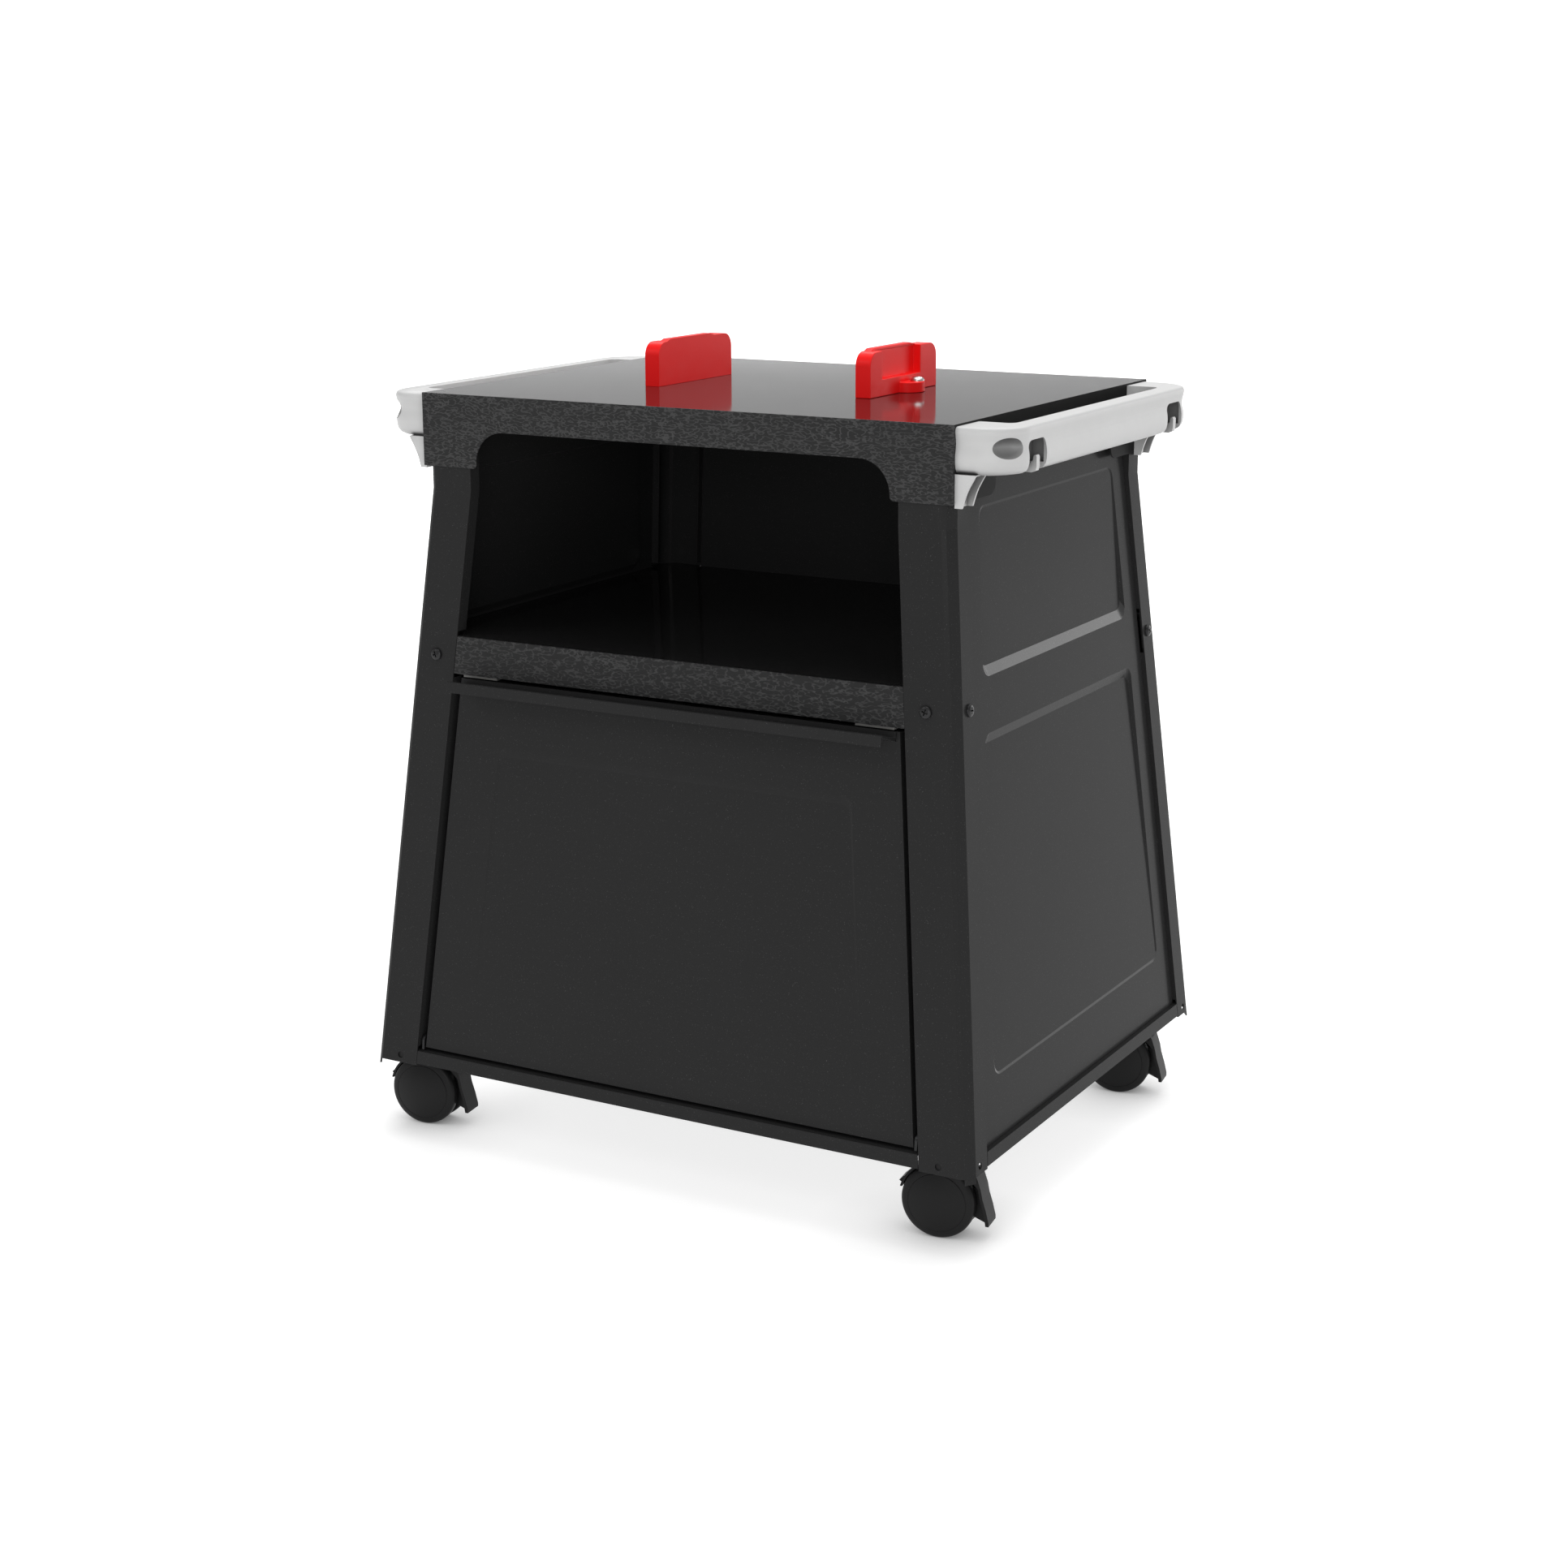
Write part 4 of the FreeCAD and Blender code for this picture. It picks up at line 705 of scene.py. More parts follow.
    @classmethod
    def spun(cls, profile: Sequence[Flat], steps: int = 64) -> bpy.types.Object:
        """A turned solid about the Z axis.

        Args:
            profile: The outline's points, each a radius and a height.
            steps: The faces round the turn.

        Returns:
            The new object.
        """
        cls.clear()
        bpy.ops.mesh.primitive_circle_add(vertices=len(profile), radius=1.0, fill_type="NOTHING")
        piece = bpy.context.object
        for vertex, (radius, height) in zip(piece.data.vertices, profile):
            vertex.co = (radius, 0.0, height)
        bpy.ops.object.mode_set(mode="EDIT")
        bpy.ops.mesh.select_all(action="SELECT")
        bpy.ops.mesh.spin(steps=steps, angle=math.tau, center=(0, 0, 0), axis=(0, 0, 1), use_auto_merge=True)
        bpy.ops.mesh.select_all(action="SELECT")
        bpy.ops.mesh.remove_doubles(threshold=1e-6)
        bpy.ops.mesh.delete_loose()
        bpy.ops.mesh.select_all(action="SELECT")
        bpy.ops.mesh.normals_make_consistent(inside=False)
        bpy.ops.object.mode_set(mode="OBJECT")
        return piece


def issue(piece: bpy.types.Object, name: str, body: str, slot: str, *nodes: str) -> bpy.types.Object:
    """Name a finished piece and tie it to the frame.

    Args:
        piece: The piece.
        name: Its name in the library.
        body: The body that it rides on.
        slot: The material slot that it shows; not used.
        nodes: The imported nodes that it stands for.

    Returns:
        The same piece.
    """
    piece.name = name
    piece.data.name = name
    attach(piece, body)
    if nodes:
        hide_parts(*nodes)
    LOG.info("%s rides on %s", name, body)
    return piece


def refined(node: str, width: float, segments: int = 2, angle: float = ROUNDED_ANGLE,
            shape: Callable[[bpy.types.Object], None] | None = None) -> bpy.types.Object:
    """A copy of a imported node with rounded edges.

    Args:
        node: The node's name.
        width: The rounding's width.
        segments: The faces across each rounding.
        angle: Folds sharper than this many degrees are rounded.
        shape: A change to make to the copy before its edges are rounded.

    Returns:
        The new object.
    """
    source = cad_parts[node]
    twin = bpy.data.objects.new(node + "_fine", source.data.copy())
    bpy.context.scene.collection.objects.link(twin)
    Bench.tidy(twin)
    if shape:
        shape(twin)
    return Bench.soften(twin, width, segments, angle)


@dataclass
class Sheetwork:
    """All pressed and folded sheets, with the small radii that folding leaves."""

    edge: float = 0.0006
    fold: float = 7.0
    smooth: tuple[str, ...] = ("front_left_leg", "front_right_leg", "rear_left_leg", "rear_right_leg",
                               "left_side_panel", "right_side_panel", "back_panel", "bottom_tray")
    glossy: tuple[str, ...] = ("top_panel", "middle_shelf")
    wrinkled: tuple[str, ...] = ("front_fascia", "rear_fascia", "shelf_front_rail")
    upward: float = 0.9
    sideways: float = 0.7
    ledge_rise: Flat = (0.2, 0.8)
    ledge_outward: float = 0.5

    def coat_top_and_shade_skirts(self, piece: bpy.types.Object) -> None:
        """Keep the gloss on the top's upward face, and painted shade, a near-black enamel, on the skirts
        that the handles cover.

        Args:
            piece: The top panel's piece.
        """
        PAINT.add(piece, ENAMEL)
        PAINT.add(piece, PAINTED_SHADE_ENAMEL)
        # Painted shade: faces that look sideways, the skirts under the handles, get the near-black enamel.
        for face in piece.data.polygons:
            if face.normal.z > self.upward:
                face.material_index = 0
            else:
                face.material_index = 2 if abs(face.normal.x) > self.sideways else 1

    def ledges(self, piece: bpy.types.Object) -> None:
        """Give a side panel's rising ledges a lighter, glossier enamel: painted light on the faces that look
        up.

        Args:
            piece: A side panel's piece.
        """
        PAINT.add(piece, LEDGE_LIGHT_ENAMEL)
        low, high = self.ledge_rise
        # Painted light: ledge faces that look up and outward get the lighter enamel.
        for face in piece.data.polygons:
            if low < face.normal.z < high and abs(face.normal.x) > self.ledge_outward:
                face.material_index = 1

    def build(self) -> None:
        """Refine and paint each sheet."""
        groups = ((self.smooth, ENAMEL, "smooth_sheet"), (self.glossy, TOP_ENAMEL, "smooth_sheet"),
                  (self.wrinkled, WRINKLE, "textured_sheet"))
        for names, finish, slot in groups:
            for node in names:
                piece = refined(node, self.edge, 2, self.fold)
                PAINT.coat(piece, finish)
                if node == "top_panel":
                    self.coat_top_and_shade_skirts(piece)
                elif node.endswith("side_panel"):
                    self.ledges(piece)
                issue(piece, node + "_sheet", "cart", slot, node)


@dataclass
class Door:
    """The drop-down door with its pull, hinge pieces and catches."""

    edge: float = 0.0006
    fold: float = 7.0
    gauge: float = 0.0015
    face_y: float = -0.2265
    depth_kept: float = 0.3
    deepest: float = 0.0056
    shallowest: float = 0.0001
    field_half: float = 0.236
    field_span: Flat = (0.15, 0.445)

    def press(self, piece: bpy.types.Object) -> None:
        """Make the pressed field as shallow as it looks, by moving its points towards the door's face.

        Args:
            piece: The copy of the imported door.
        """
        inward = Vector((0, math.cos(SPLAY), -math.sin(SPLAY)))
        face = Vector((0, self.face_y, KNEE))
        low, high = self.field_span
        for vertex in piece.data.vertices:
            spot = vertex.co
            depth = (spot - face).dot(inward)
            skin = 0.0 if vertex.normal.dot(inward) < 0 else self.gauge
            pressed = depth - skin > self.shallowest and depth < self.deepest
            if pressed and abs(spot.x) < self.field_half and low < spot.z < high:
                vertex.co -= inward * (depth - skin) * (1 - self.depth_kept)

    def build(self) -> None:
        """Refine and paint the door's pieces."""
        for node, finish, slot, body in (
            ("door", ENAMEL, "smooth_sheet", "door_leaf"),
            ("door_pull", ENAMEL, "smooth_sheet", "door_leaf"),
            ("door_hinge_brackets", BLACKENED, "black_steel", "cart"),
            ("door_hinge_pins", PIN_STEEL, "bright_steel", "cart"),
            ("left_door_catch", CATCH_GREY, "catch_plastic", "cart"),
            ("right_door_catch", CATCH_GREY, "catch_plastic", "cart"),
        ):
            piece = refined(node, self.edge, 2, self.fold, self.press if node == "door" else None)
            PAINT.coat(piece, finish)
            issue(piece, node + "_finished", body, slot, node)


@dataclass
class Handle:
    """A moulded side handle, modelled on the right and mirrored for the left."""

    wall: float = 0.3
    outer: float = 0.357
    half_length: float = 0.229
    slot_x: float = 0.336
    slot_y: float = 0.179
    low: float = 0.7462
    corner: float = 0.041
    profile: tuple[Flat, ...] = ((0.0, 0.0115), (0.0009, 0.0072), (0.0032, 0.0032), (0.0066, 0.0011),
                                 (0.0108, 0.0002), (0.0160, 0.0), (0.0205, 0.0004), (0.0245, 0.0012),
                                 (0.0290, 0.0017), (0.0335, 0.0012), (0.0375, 0.0004), (0.0405, 0.0),
                                 (0.0428, 0.0005), (0.0441, 0.0016), (0.0448, 0.0034))
    over: float = 0.01
    slot_corner: float = 0.009
    slot_span: Flat = (0.7, 0.85)
    hook_y: float = 0.1705
    hook_half: float = 0.0035
    web: float = 0.003
    notch: float = 0.0195
    notch_span: Flat = (0.73, 0.7772)
    notch_corner: float = 0.008
    hollow: float = 0.027
    hollow_span: Flat = (0.7535, 0.7865)
    shell: float = 0.0035
    dimple_angle: float = math.radians(38.7)
    dimple_level: float = 0.7722
    dimple_reach: float = 0.0425
    dimple_size: Point = (0.0145, 0.0174, 0.0099)
    gusset_span: Flat = (0.2035, 0.2288)
    gusset_rib: float = 0.0028
    gusset_plate: float = 0.0018
    gusset_cell: Flat = (0.03, 0.71)
    hole_size: Flat = (0.0049, 0.0043)

    def body(self) -> bpy.types.Object:
        """The outer shell, as outlines that grow and shrink from its foot to its top.

        Returns:
            The shell, before anything is cut from it.
        """
        bench = Bench
        bench.clear()
        bpy.ops.mesh.primitive_plane_add(size=1.0)
        piece = bpy.context.object
        low_x, high_x = self.wall, self.outer
        for vertex in piece.data.vertices:
            across = high_x if vertex.co.x > 0 else low_x
            vertex.co = (across, math.copysign(self.half_length, vertex.co.y), self.low)
        bpy.ops.object.mode_set(mode="EDIT")
        bpy.ops.mesh.select_mode(type="VERT")
        bpy.ops.mesh.select_all(action="DESELECT")
        bpy.ops.object.mode_set(mode="OBJECT")
        for vertex in piece.data.vertices:
            vertex.select = vertex.co.x > (low_x + high_x) / 2
        bpy.ops.object.mode_set(mode="EDIT")
        bpy.ops.mesh.bevel(offset=self.corner, segments=14, affect="VERTICES")
        bpy.ops.mesh.select_all(action="SELECT")
        reach, length = high_x - low_x, self.half_length
        foot = self.profile[0][1]
        bpy.ops.transform.resize(value=((reach - foot) / reach, (length - foot) / length, 1),
                                 center_override=(low_x, 0, self.low))
        for (height, inset), (next_height, next_inset) in zip(self.profile, self.profile[1:]):
            bpy.ops.mesh.extrude_region_move(TRANSFORM_OT_translate={"value": (0, 0, next_height - height)})
            bpy.ops.transform.resize(
                value=((reach - next_inset) / (reach - inset), (length - next_inset) / (length - inset), 1),
                center_override=(low_x, 0, self.low))
        bpy.ops.mesh.select_all(action="SELECT")
        bpy.ops.mesh.normals_make_consistent(inside=False)
        bpy.ops.object.mode_set(mode="OBJECT")
        return piece

    def slot(self) -> bpy.types.Object:
        """The cutter for the finger slot.

        Returns:
            The cutter.
        """
        low, high = self.slot_span
        cutter = Bench.box((self.wall - self.over, -self.slot_y, low), (self.slot_x, self.slot_y, high))
        return Bench.upright(cutter, self.slot_corner, 8, wanted=lambda spot: spot.x > self.wall)

    def notches(self) -> list[bpy.types.Object]:
        """The cutters for the hook notches, open below and outward.

        Returns:
            The front and rear cutters.
        """
        cutters = []
        low, high = self.notch_span
        for end in (-1, 1):
            centre = end * self.hook_y
            cutter = Bench.box((self.slot_x + self.web, centre - self.notch, low),
                               (self.outer + self.over, centre + self.notch, high))
            cutters.append(Bench.upright(cutter, self.notch_corner, 6, axis=0,
                                         wanted=lambda spot: spot.z > (low + high) / 2))
        return cutters

    def hollows(self) -> list[bpy.types.Object]:
        """The cutters for the hollow inside the shell beside each notch.

        Returns:
            The front and rear cutters.
        """
        low, high = self.hollow_span
        return [Bench.box((self.slot_x + self.web, end * self.hook_y - self.hollow, low),
                          (self.outer - self.shell, end * self.hook_y + self.hollow, high))
                for end in (-1, 1)]

    def hooks(self) -> list[bpy.types.Object]:
        """The web and finger that stand in each notch.

        Returns:
            The front and rear hooks.
        """
        root, tip, low = self.slot_x + 0.002, self.outer, self.low
        outline = [(root, low + 0.0004), (tip - 0.0052, low), (tip - 0.0012, low + 0.0016),
                   (tip - 0.0002, low + 0.006), (tip - 0.0002, low + 0.0145),
                   (tip - 0.0012, low + 0.0162), (tip - 0.0028, low + 0.0162),
                   (tip - 0.0037, low + 0.0145), (tip - 0.0042, low + 0.0105),
                   (tip - 0.0062, low + 0.0086), (root, low + 0.0084)]
        return [Bench.prism(outline, Plane.XZ, end * self.hook_y - self.hook_half,
                            end * self.hook_y + self.hook_half) for end in (-1, 1)]

    def dimples(self) -> list[bpy.types.Object]:
        """The cutters for the oval recess on each outer corner.

        Returns:
            The front and rear cutters.
        """
        cutters = []
        for end in (-1, 1):
            Bench.clear()
            bpy.ops.mesh.primitive_uv_sphere_add(segments=48, ring_count=24, radius=1.0)
            cutter = bpy.context.object
            angle = end * self.dimple_angle
            bend_y = end * (self.half_length - self.corner)
            centre = Vector((self.outer - self.corner, bend_y, self.dimple_level))
            outward = Vector((math.cos(angle), math.sin(angle), 0))
            cutter.matrix_world = (Matrix.Translation(centre + outward * self.dimple_reach)
                                   @ Matrix.Rotation(angle, 4, "Z")
                                   @ Matrix.Diagonal((*self.dimple_size, 1)))
            cutters.append(Bench.settle(cutter))
        return cutters

    def gussets(self) -> list[bpy.types.Object]:
        """The curved brackets under each arm, open between two ribs.

        Returns:
            The front and rear gussets.
        """
        pieces = []
        wall = self.wall
        outline = [(wall, 0.7161), (wall + 0.0074, 0.7161), (wall + 0.0078, 0.7176), (wall + 0.0092, 0.7225),
                   (wall + 0.0109, 0.7277), (wall + 0.0127, 0.7322), (wall + 0.0147, 0.7361),
                   (wall + 0.0168, 0.7399), (wall + 0.0189, 0.7434), (wall + 0.0204, 0.7462),
                   (wall + 0.0207, 0.7475), (wall, 0.7475)]
        reach, foot = self.gusset_cell
        for end in (-1, 1):
            inner, outer = sorted(end * edge for edge in self.gusset_span)
            gusset = Bench.prism(outline, Plane.XZ, inner, outer)
            cell = Bench.box((wall + self.gusset_plate, inner + self.gusset_rib, foot),
                             (wall + reach, outer - self.gusset_rib, self.low))
            pieces.append(Bench.carve(gusset, cell))
        return pieces

    def access_holes(self) -> list[bpy.types.Object]:
        """The cutters for the oval screw hole in each gusset's plate.

        Returns:
            The front and rear cutters.
        """
        cutters = []
        for end in (-1, 1):
            Bench.clear()
            bpy.ops.mesh.primitive_cylinder_add(vertices=40, radius=1.0, depth=0.01)
            cutter = bpy.context.object
            cutter.matrix_world = (Matrix.Translation((self.wall, end * HANDLE_SCREW_Y, HANDLE_SCREW_Z))
                                   @ Matrix.Rotation(math.pi / 2, 4, "Y")
                                   @ Matrix.Diagonal((*self.hole_size, 1, 1)))
            cutters.append(Bench.settle(cutter))
        return cutters

    def right(self) -> bpy.types.Object:
        """The whole right handle.

        Returns:
            The finished handle, not yet painted.
        """
        piece = Bench.carve(self.body(), self.slot(), *self.notches(), *self.hollows(), *self.dimples())
        Bench.merge(piece, *self.hooks(), *self.gussets())
        Bench.carve(piece, *self.access_holes())
        Bench.tidy(piece, 0.4)
        return Bench.soften(piece, 0.0007, 2, 32.0)

    def build(self) -> None:
        """Make both handles."""
        right = self.right()
        left = Bench.copy(right, "left", Matrix.Scale(-1, 4, (1, 0, 0)))
        for side, piece in ((Side.RIGHT, right), (Side.LEFT, left)):
            PAINT.coat(piece, HANDLE_GREY)
            issue(piece, side.word + "_handle_moulding", "cart", "handle_plastic", side.word + "_handle")


@dataclass
class Screws:
    """Screw heads: cross-recessed pan heads and plain domed ones."""

    shank: float = 0.0024
    knee_half: Flat = (0.2985, 0.2315)
    leg_level: float = 0.526
    leg_inset: Flat = (0.032, 0.026)
    front_twist: Flat = (0.35, 0.9)
    side_twist: Flat = (0.8, 0.6)
    handle_x: float = 0.3002
    lock_place: Point = (0.140, 0.012, 0.8035)

    def pan(self, radius: float, height: float) -> bpy.types.Object:
        """A pan head standing on the XY plane, with a cross recess and a short shank.

        Args:
            radius: The head's radius.
            height: The head's height.

        Returns:
            The screw.
        """
        shank = self.shank
        profile = [(1e-4, -0.006), (shank, -0.006), (shank, 0.0), (radius, 0.0), (radius, height * 0.42),
                   (radius * 0.93, height * 0.68), (radius * 0.76, height * 0.88),
                   (radius * 0.5, height * 0.97), (1e-4, height)]
        head = Bench.spun(profile, 40)
        arm, width = radius * 0.52, radius * 0.11
        for size in ((arm, width), (width, arm)):
            cutter = Bench.box((-size[0], -size[1], height * 0.35), (size[0], size[1], height * 1.5))
            Bench.carve(head, cutter)
        return Bench.soften(head, 0.00025, 2, 40.0)

    def dome(self, radius: float, height: float) -> bpy.types.Object:
        """A domed head with a thin rim.

        Args:
            radius: The head's radius.
            height: The head's height.

        Returns:
            The screw.
        """
        shank = self.shank
        profile = [(1e-4, -0.004), (shank, -0.004), (shank, 0.0), (radius, 0.0), (radius, 0.0011),
                   (radius * 0.965, height * 0.36), (radius * 0.86, height * 0.6),
                   (radius * 0.68, height * 0.8), (radius * 0.4, height * 0.95), (1e-4, height)]
        return Bench.soften(Bench.spun(profile, 48), 0.00025, 2, 40.0)

    def lay(self, master: bpy.types.Object, places: Iterable[tuple[Point, Matrix]]) -> bpy.types.Object:
        """Copies of one head at several places, joined in one piece.

        Args:
            master: The screw to copy, which is then removed.
            places: Each copy's place and turn.

        Returns:
            The joined copies.
        """
        copies = [Bench.copy(master, "head", Matrix.Translation(spot) @ turn) for spot, turn in places]
        bpy.data.objects.remove(master)
        return Bench.join(copies)

    def build(self) -> None:
        """Place every screw where the frame has it."""
        level = self.leg_level
        reach = math.tan(SPLAY) * (KNEE - level)
        leg_x, leg_y = (half + reach for half in self.knee_half)
        upright = math.pi / 2 - SPLAY
        front, sides = [], []
        for index, (x_sign, y_sign) in enumerate(((-1, -1), (1, -1), (-1, 1), (1, 1))):
            lean = Matrix.Rotation(-y_sign * upright, 4, "X")
            twist = Matrix.Rotation(self.front_twist[0] + self.front_twist[1] * index, 4, "Z")
            front.append(((x_sign * (leg_x - self.leg_inset[0]), y_sign * leg_y, level), lean @ twist))
            tilt = Matrix.Rotation(x_sign * upright, 4, "Y")
            twist = Matrix.Rotation(self.side_twist[0] + self.side_twist[1] * index, 4, "Z")
            sides.append(((x_sign * leg_x, y_sign * (leg_y - self.leg_inset[1]), level), tilt @ twist))
        piece = self.lay(self.pan(0.0062, 0.0034), front + sides)
        PAINT.coat(piece, BLACKENED)
        issue(piece, "leg_screw_heads", "cart", "black_steel", "leg_screws")
        small = [((side * self.handle_x, end * HANDLE_SCREW_Y, HANDLE_SCREW_Z),
                  Matrix.Rotation(side * math.pi / 2, 4, "Y")) for side in (-1, 1) for end in (-1, 1)]
        piece = self.lay(self.pan(0.0036, 0.0016), small)
        PAINT.coat(piece, BLACKENED)
        issue(piece, "handle_screw_heads", "cart", "black_steel", "handle_screws")
        across, back, seat = self.lock_place
        domes = [((side * across, back, seat), Matrix.Identity(4)) for side in (-1, 1)]
        piece = self.lay(self.dome(0.0072, 0.0046), domes)
        PAINT.coat(piece, ZINC)
        issue(piece, "lock_screw_heads", "cart", "bright_steel", "lock_bracket_screws")


@dataclass
class LockBrackets:
    """The pair of moulded brackets that hold a grill's feet."""

    edge: float = 0.0014

    def build(self) -> None:
        """Round and paint each bracket."""
        for side in Side:
            node = side.word + "_lock_bracket"
            piece = refined(node, self.edge, 3)
            PAINT.coat(piece, RED)
            issue(piece, node + "_moulding", "cart", "red_plastic", node)


@dataclass
class Caster:
    """One twin-wheel caster: hood, axle, two wheels and brake lever."""

    prefix: str
    turn: float = math.radians(8.0)
    radius: float = 0.0375
    gap: float = 0.0073
    tread: float = 0.008
    dome: float = 0.009
    bore: float = 0.0032
    hub: float = 0.012
    lip: float = 0.03

    def centre(self) -> Vector:
        """The middle of the wheels' axle."""
        low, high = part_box(self.prefix + "_axle")
        return (low + high) / 2

    def wheel(self) -> bpy.types.Object:
        """One wheel about the Z axis, its outer face up, with a ringed and domed disc.

        Returns:
            The wheel at the origin.
        """
        start, outer = self.gap, self.gap + self.tread
        r, d, bore, hub, lip = self.radius, self.dome, self.bore, self.hub, self.lip
        profile = [(bore, start), (hub, start), (hub + 0.0005, start + 0.001), (lip, start + 0.001),
                   (lip + 0.0005, start), (r - 0.0012, start), (r - 0.0003, start + 0.0008),
                   (r, start + 0.002), (r, outer - 0.0004), (r - 0.0002, outer + 0.0006),
                   (r - 0.0009, outer + 0.0018), (r - 0.0022, outer + 0.0029),
                   (r - 0.0046, outer + 0.0038), (0.0303, outer + 0.0044),
                   (0.0299, outer + 0.0042), (0.0296, outer + 0.0042), (0.0292, outer + 0.0047),
                   (0.0255, outer + d * 0.64), (0.0205, outer + d * 0.77), (0.0155, outer + d * 0.87),
                   (0.0105, outer + d * 0.945), (0.0055, outer + d * 0.985), (0.0001, outer + d),
                   (0.0001, outer + 0.0045), (bore, outer + 0.0045)]
        return Bench.spun(profile, 96)

    def build(self) -> None:
        """Make and place the caster's pieces."""
        swivel = self.prefix + "_swivel_body"
        for node, finish, slot, body, edge in (
            ("_hood", NYLON, "caster_plastic", swivel, 0.0008),
            ("_axle", ZINC, "bright_steel", swivel, 0.0003),
            ("_brake", NYLON, "caster_plastic", self.prefix + "_brake_body", 0.0006),
        ):
            piece = refined(self.prefix + node, edge)
            PAINT.coat(piece, finish)
            issue(piece, self.prefix + node + "_finished", body, slot, self.prefix + node)
        master = self.wheel()
        for facing, word in ((-1, "front_wheel"), (1, "rear_wheel")):
            turn = Matrix.Rotation(self.turn, 4, "Z") @ Matrix.Rotation(-facing * math.pi / 2, 4, "X")
            wheel = Bench.copy(master, word, Matrix.Translation(self.centre()) @ turn)
            bpy.ops.object.shade_smooth_by_angle(angle=math.radians(35))
            PAINT.coat(wheel, NYLON)
            node = self.prefix + "_" + word
            issue(wheel, node + "_finished", node + "_body", "caster_plastic", node)
        bpy.data.objects.remove(master)


@dataclass
class CasterMounts:
    """The steel stems and the sockets that hold them under the tray."""

    edge: float = 0.0003

    def build(self) -> None:
        """Round and paint stems and sockets."""
        for node, finish, slot in (("caster_stems", ZINC, "bright_steel"),
                                   ("caster_sockets", NYLON, "caster_plastic")):
            piece = refined(node, self.edge)
            PAINT.coat(piece, finish)
            issue(piece, node + "_finished", "cart", slot, node)


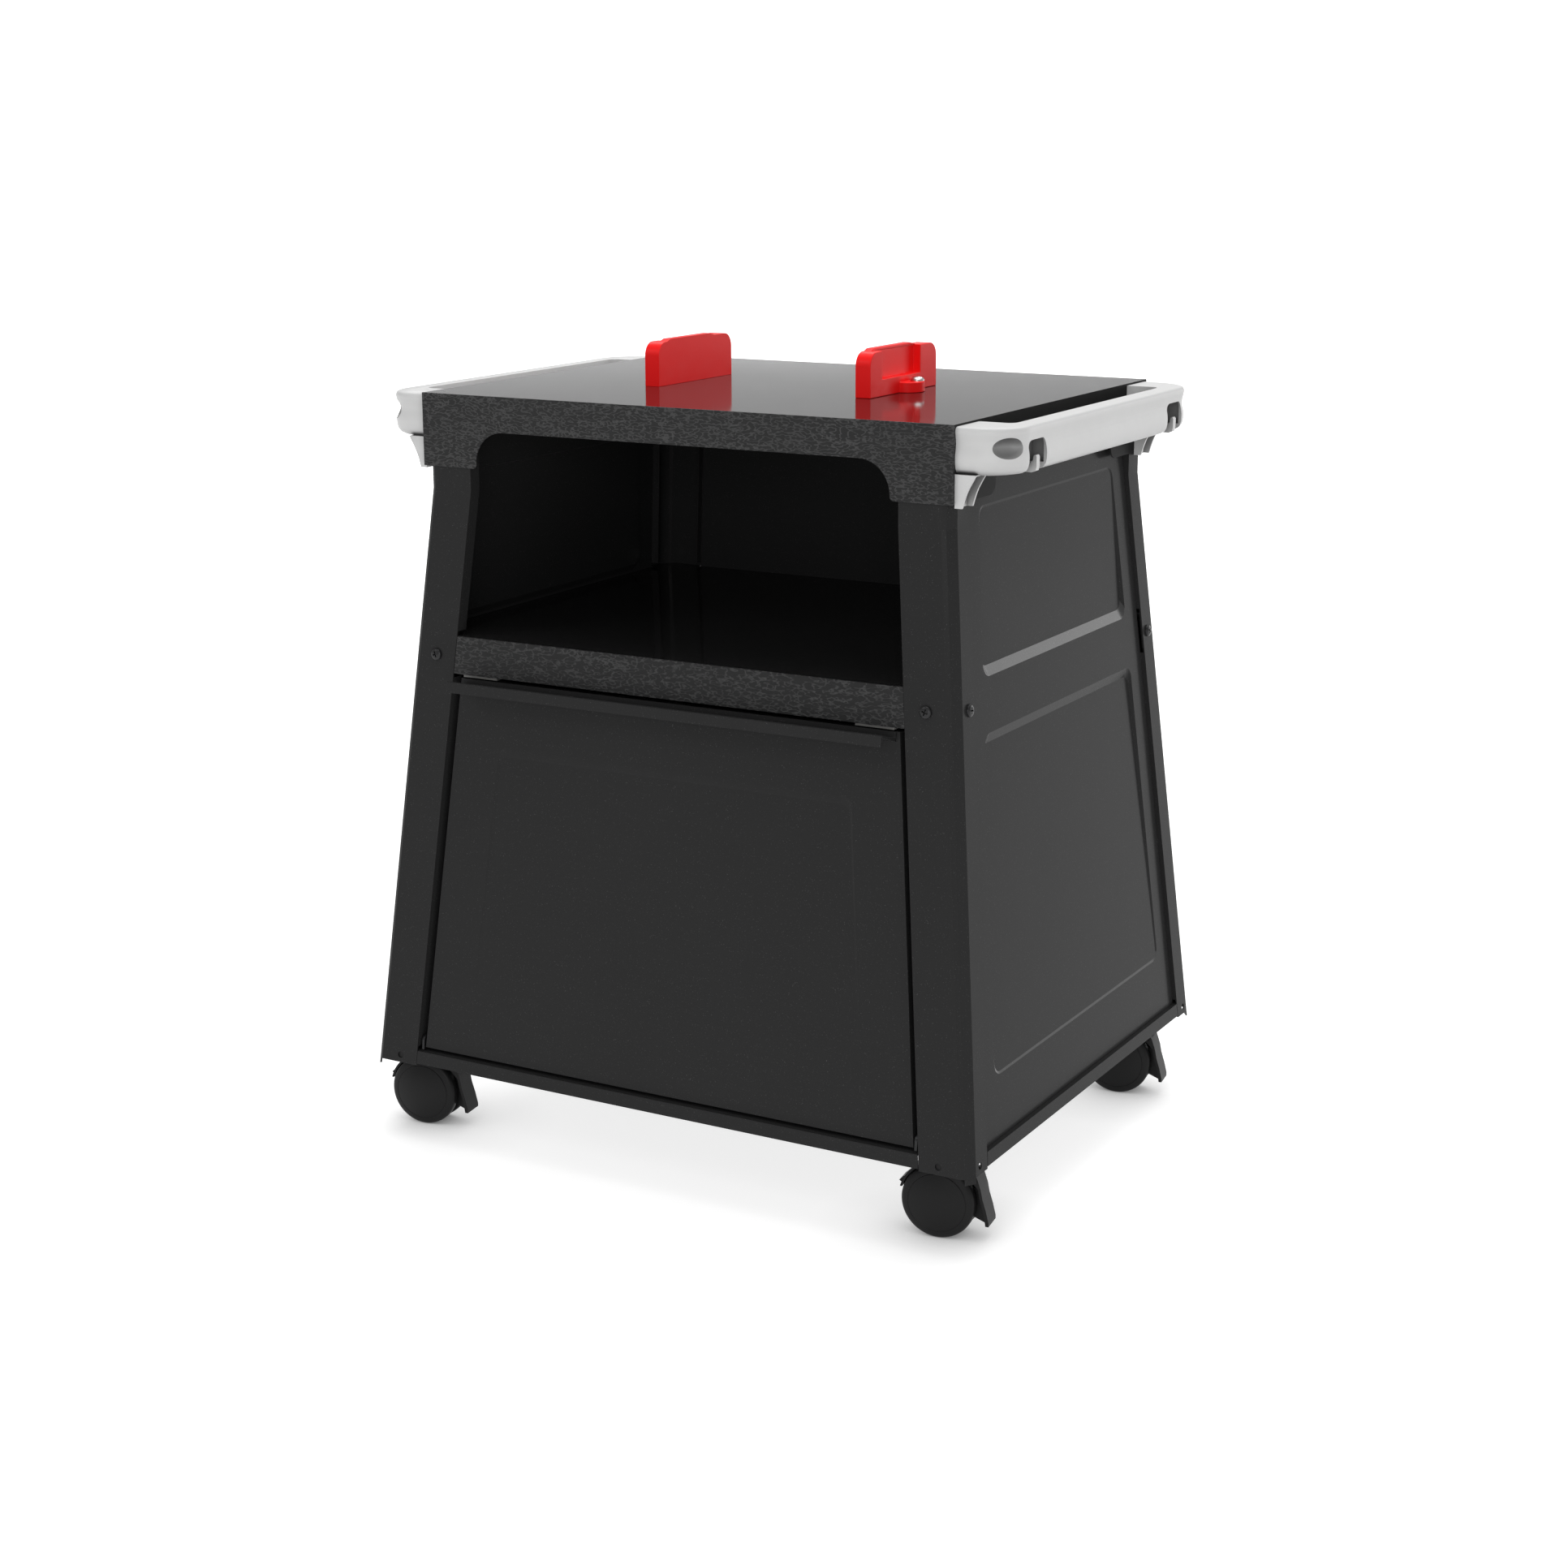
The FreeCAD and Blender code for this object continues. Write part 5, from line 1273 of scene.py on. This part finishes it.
@dataclass
class Studio:
    """Pale floor, soft lights and the camera of the photograph's viewpoint."""

    eye: Point = (1.3614, -2.4252, 1.0807)
    yaw: float = math.radians(29.488)
    pitch: float = math.radians(-14.400)
    roll: float = -0.0031
    focal: float = 3287.1 / 1932 * 36
    spread: float = 80.0
    depth: float = 10.0
    rise: float = 1.6
    bend: float = 0.8
    floor_tone: Flat = (0.4, 0.41)
    ambient: float = 0.456
    glow: float = 0.8
    contact_reach: float = 0.1
    contact_glow: float = 0.05
    lamps: tuple[tuple[str, Point, Point, Flat, float], ...] = (
        ("backdrop", (-3.0, 5.0, 6.0), (-4.2, 8.0, 0.4), (8.0, 3.0), 1056.0),
        ("overhead", (0.3, 0.3, 3.6), (0.0, 0.0, 0.0), (2.6, 2.4), 60.0),
        ("key", (-2.2, -2.9, 3.0), (0.0, 0.0, 0.4), (1.2, 1.2), 17.0),
        ("rim", (2.7, 4.9, 1.5), (0.3, 0.0, 0.6), (2.2, 1.4), 24.0),
        ("fill", (1.5, -3.4, 1.3), (0.0, 0.0, 0.55), (1.2, 0.8), 20.0),
    )

    def camera(self) -> None:
        """Set the camera."""
        data = bpy.data.cameras.new("viewpoint")
        data.lens = self.focal
        data.sensor_width = 36.0
        data.clip_end = 100.0
        viewpoint = bpy.data.objects.new("viewpoint", data)
        bpy.context.scene.collection.objects.link(viewpoint)
        turn = Euler((math.pi / 2 + self.pitch, 0, self.yaw), "XYZ").to_matrix().to_4x4()
        viewpoint.matrix_world = Matrix.Translation(self.eye) @ turn @ Matrix.Rotation(self.roll, 4, "Z")
        bpy.context.scene.camera = viewpoint

    def lamp(self, name: str, spot: Point, aim: Point, size: Flat, power: float) -> None:
        """Add a rectangular soft light.

        Args:
            name: The lamp's name.
            spot: Where it stands.
            aim: The point that it faces.
            size: Its width and height.
            power: Its power in watts.
        """
        data = bpy.data.lights.new(name, "AREA")
        data.shape = "RECTANGLE"
        data.size, data.size_y = size
        data.energy = power
        lamp = bpy.data.objects.new(name, data)
        bpy.context.scene.collection.objects.link(lamp)
        lamp.location = spot
        lamp.rotation_euler = (Vector(aim) - Vector(spot)).to_track_quat("-Z", "Y").to_euler()

    def cove(self) -> None:
        """A pale floor that curves up into a backdrop behind the cart, its glow darkened by painted contact
        shadows near the cart.
        """
        Bench.clear()
        bpy.ops.mesh.primitive_plane_add(size=self.spread)
        ground = bpy.context.object
        for vertex in ground.data.vertices:
            vertex.co.y = min(vertex.co.y, self.depth)
        Bench.pick_edges(ground, lambda one, two: min(one.y, two.y) > self.depth - 0.01)
        bpy.ops.mesh.extrude_region_move(TRANSFORM_OT_translate={"value": (0, 0, self.rise)})
        bpy.ops.object.mode_set(mode="OBJECT")
        Bench.round(ground, self.rise * self.bend, 32,
                    lambda one, two: min(one.y, two.y) > self.depth - 0.01 and max(one.z, two.z) < 0.01)
        ground.matrix_world = Matrix.Rotation(self.yaw, 4, "Z")
        Bench.settle(ground)
        bpy.ops.object.shade_smooth()
        ground.name = "floor"
        graph = Graph("pale_floor")
        drift = graph.noise(0.7, 2.0)
        darker, lighter = ((tone,) * 3 for tone in self.floor_tone)
        # Painted shadow: the floor's glow drops towards a dim level where ambient occlusion finds the cart
        # or wheels close by.
        shadow, lit = (self.contact_glow,) * 3, (1.0,) * 3
        graph.shade(Base_Color=graph.mix(drift, darker, lighter), Roughness=0.8,
                    Emission_Color=graph.mix(graph.openness(self.contact_reach, False), shadow, lit),
                    Emission_Strength=self.glow)
        ground.data.materials.append(graph.material)

    def build(self) -> None:
        """Set the view transform, floor, world, lights and camera."""
        bpy.context.scene.view_settings.view_transform = "Standard"
        self.cove()
        world = bpy.data.worlds.new("studio")
        bpy.context.scene.world = world
        world.use_nodes = True
        world.node_tree.nodes["Background"].inputs[0].default_value = (1.0, 1.0, 1.0, 1.0)
        world.node_tree.nodes["Background"].inputs[1].default_value = self.ambient
        for name, spot, aim, size, power in self.lamps:
            self.lamp(name, spot, aim, size, power)
        self.camera()


def main() -> None:
    """Build the cart's pieces in order, then the studio."""
    Sheetwork().build()
    Door().build()
    Handle().build()
    LockBrackets().build()
    Screws().build()
    for prefix in ("front_left", "rear_left", "front_right", "rear_right"):
        Caster(prefix + "_caster").build()
    CasterMounts().build()
    Studio().build()


if __name__ == "__main__":
    logging.basicConfig(level=logging.INFO, format="%(name)s: %(message)s")
    main()
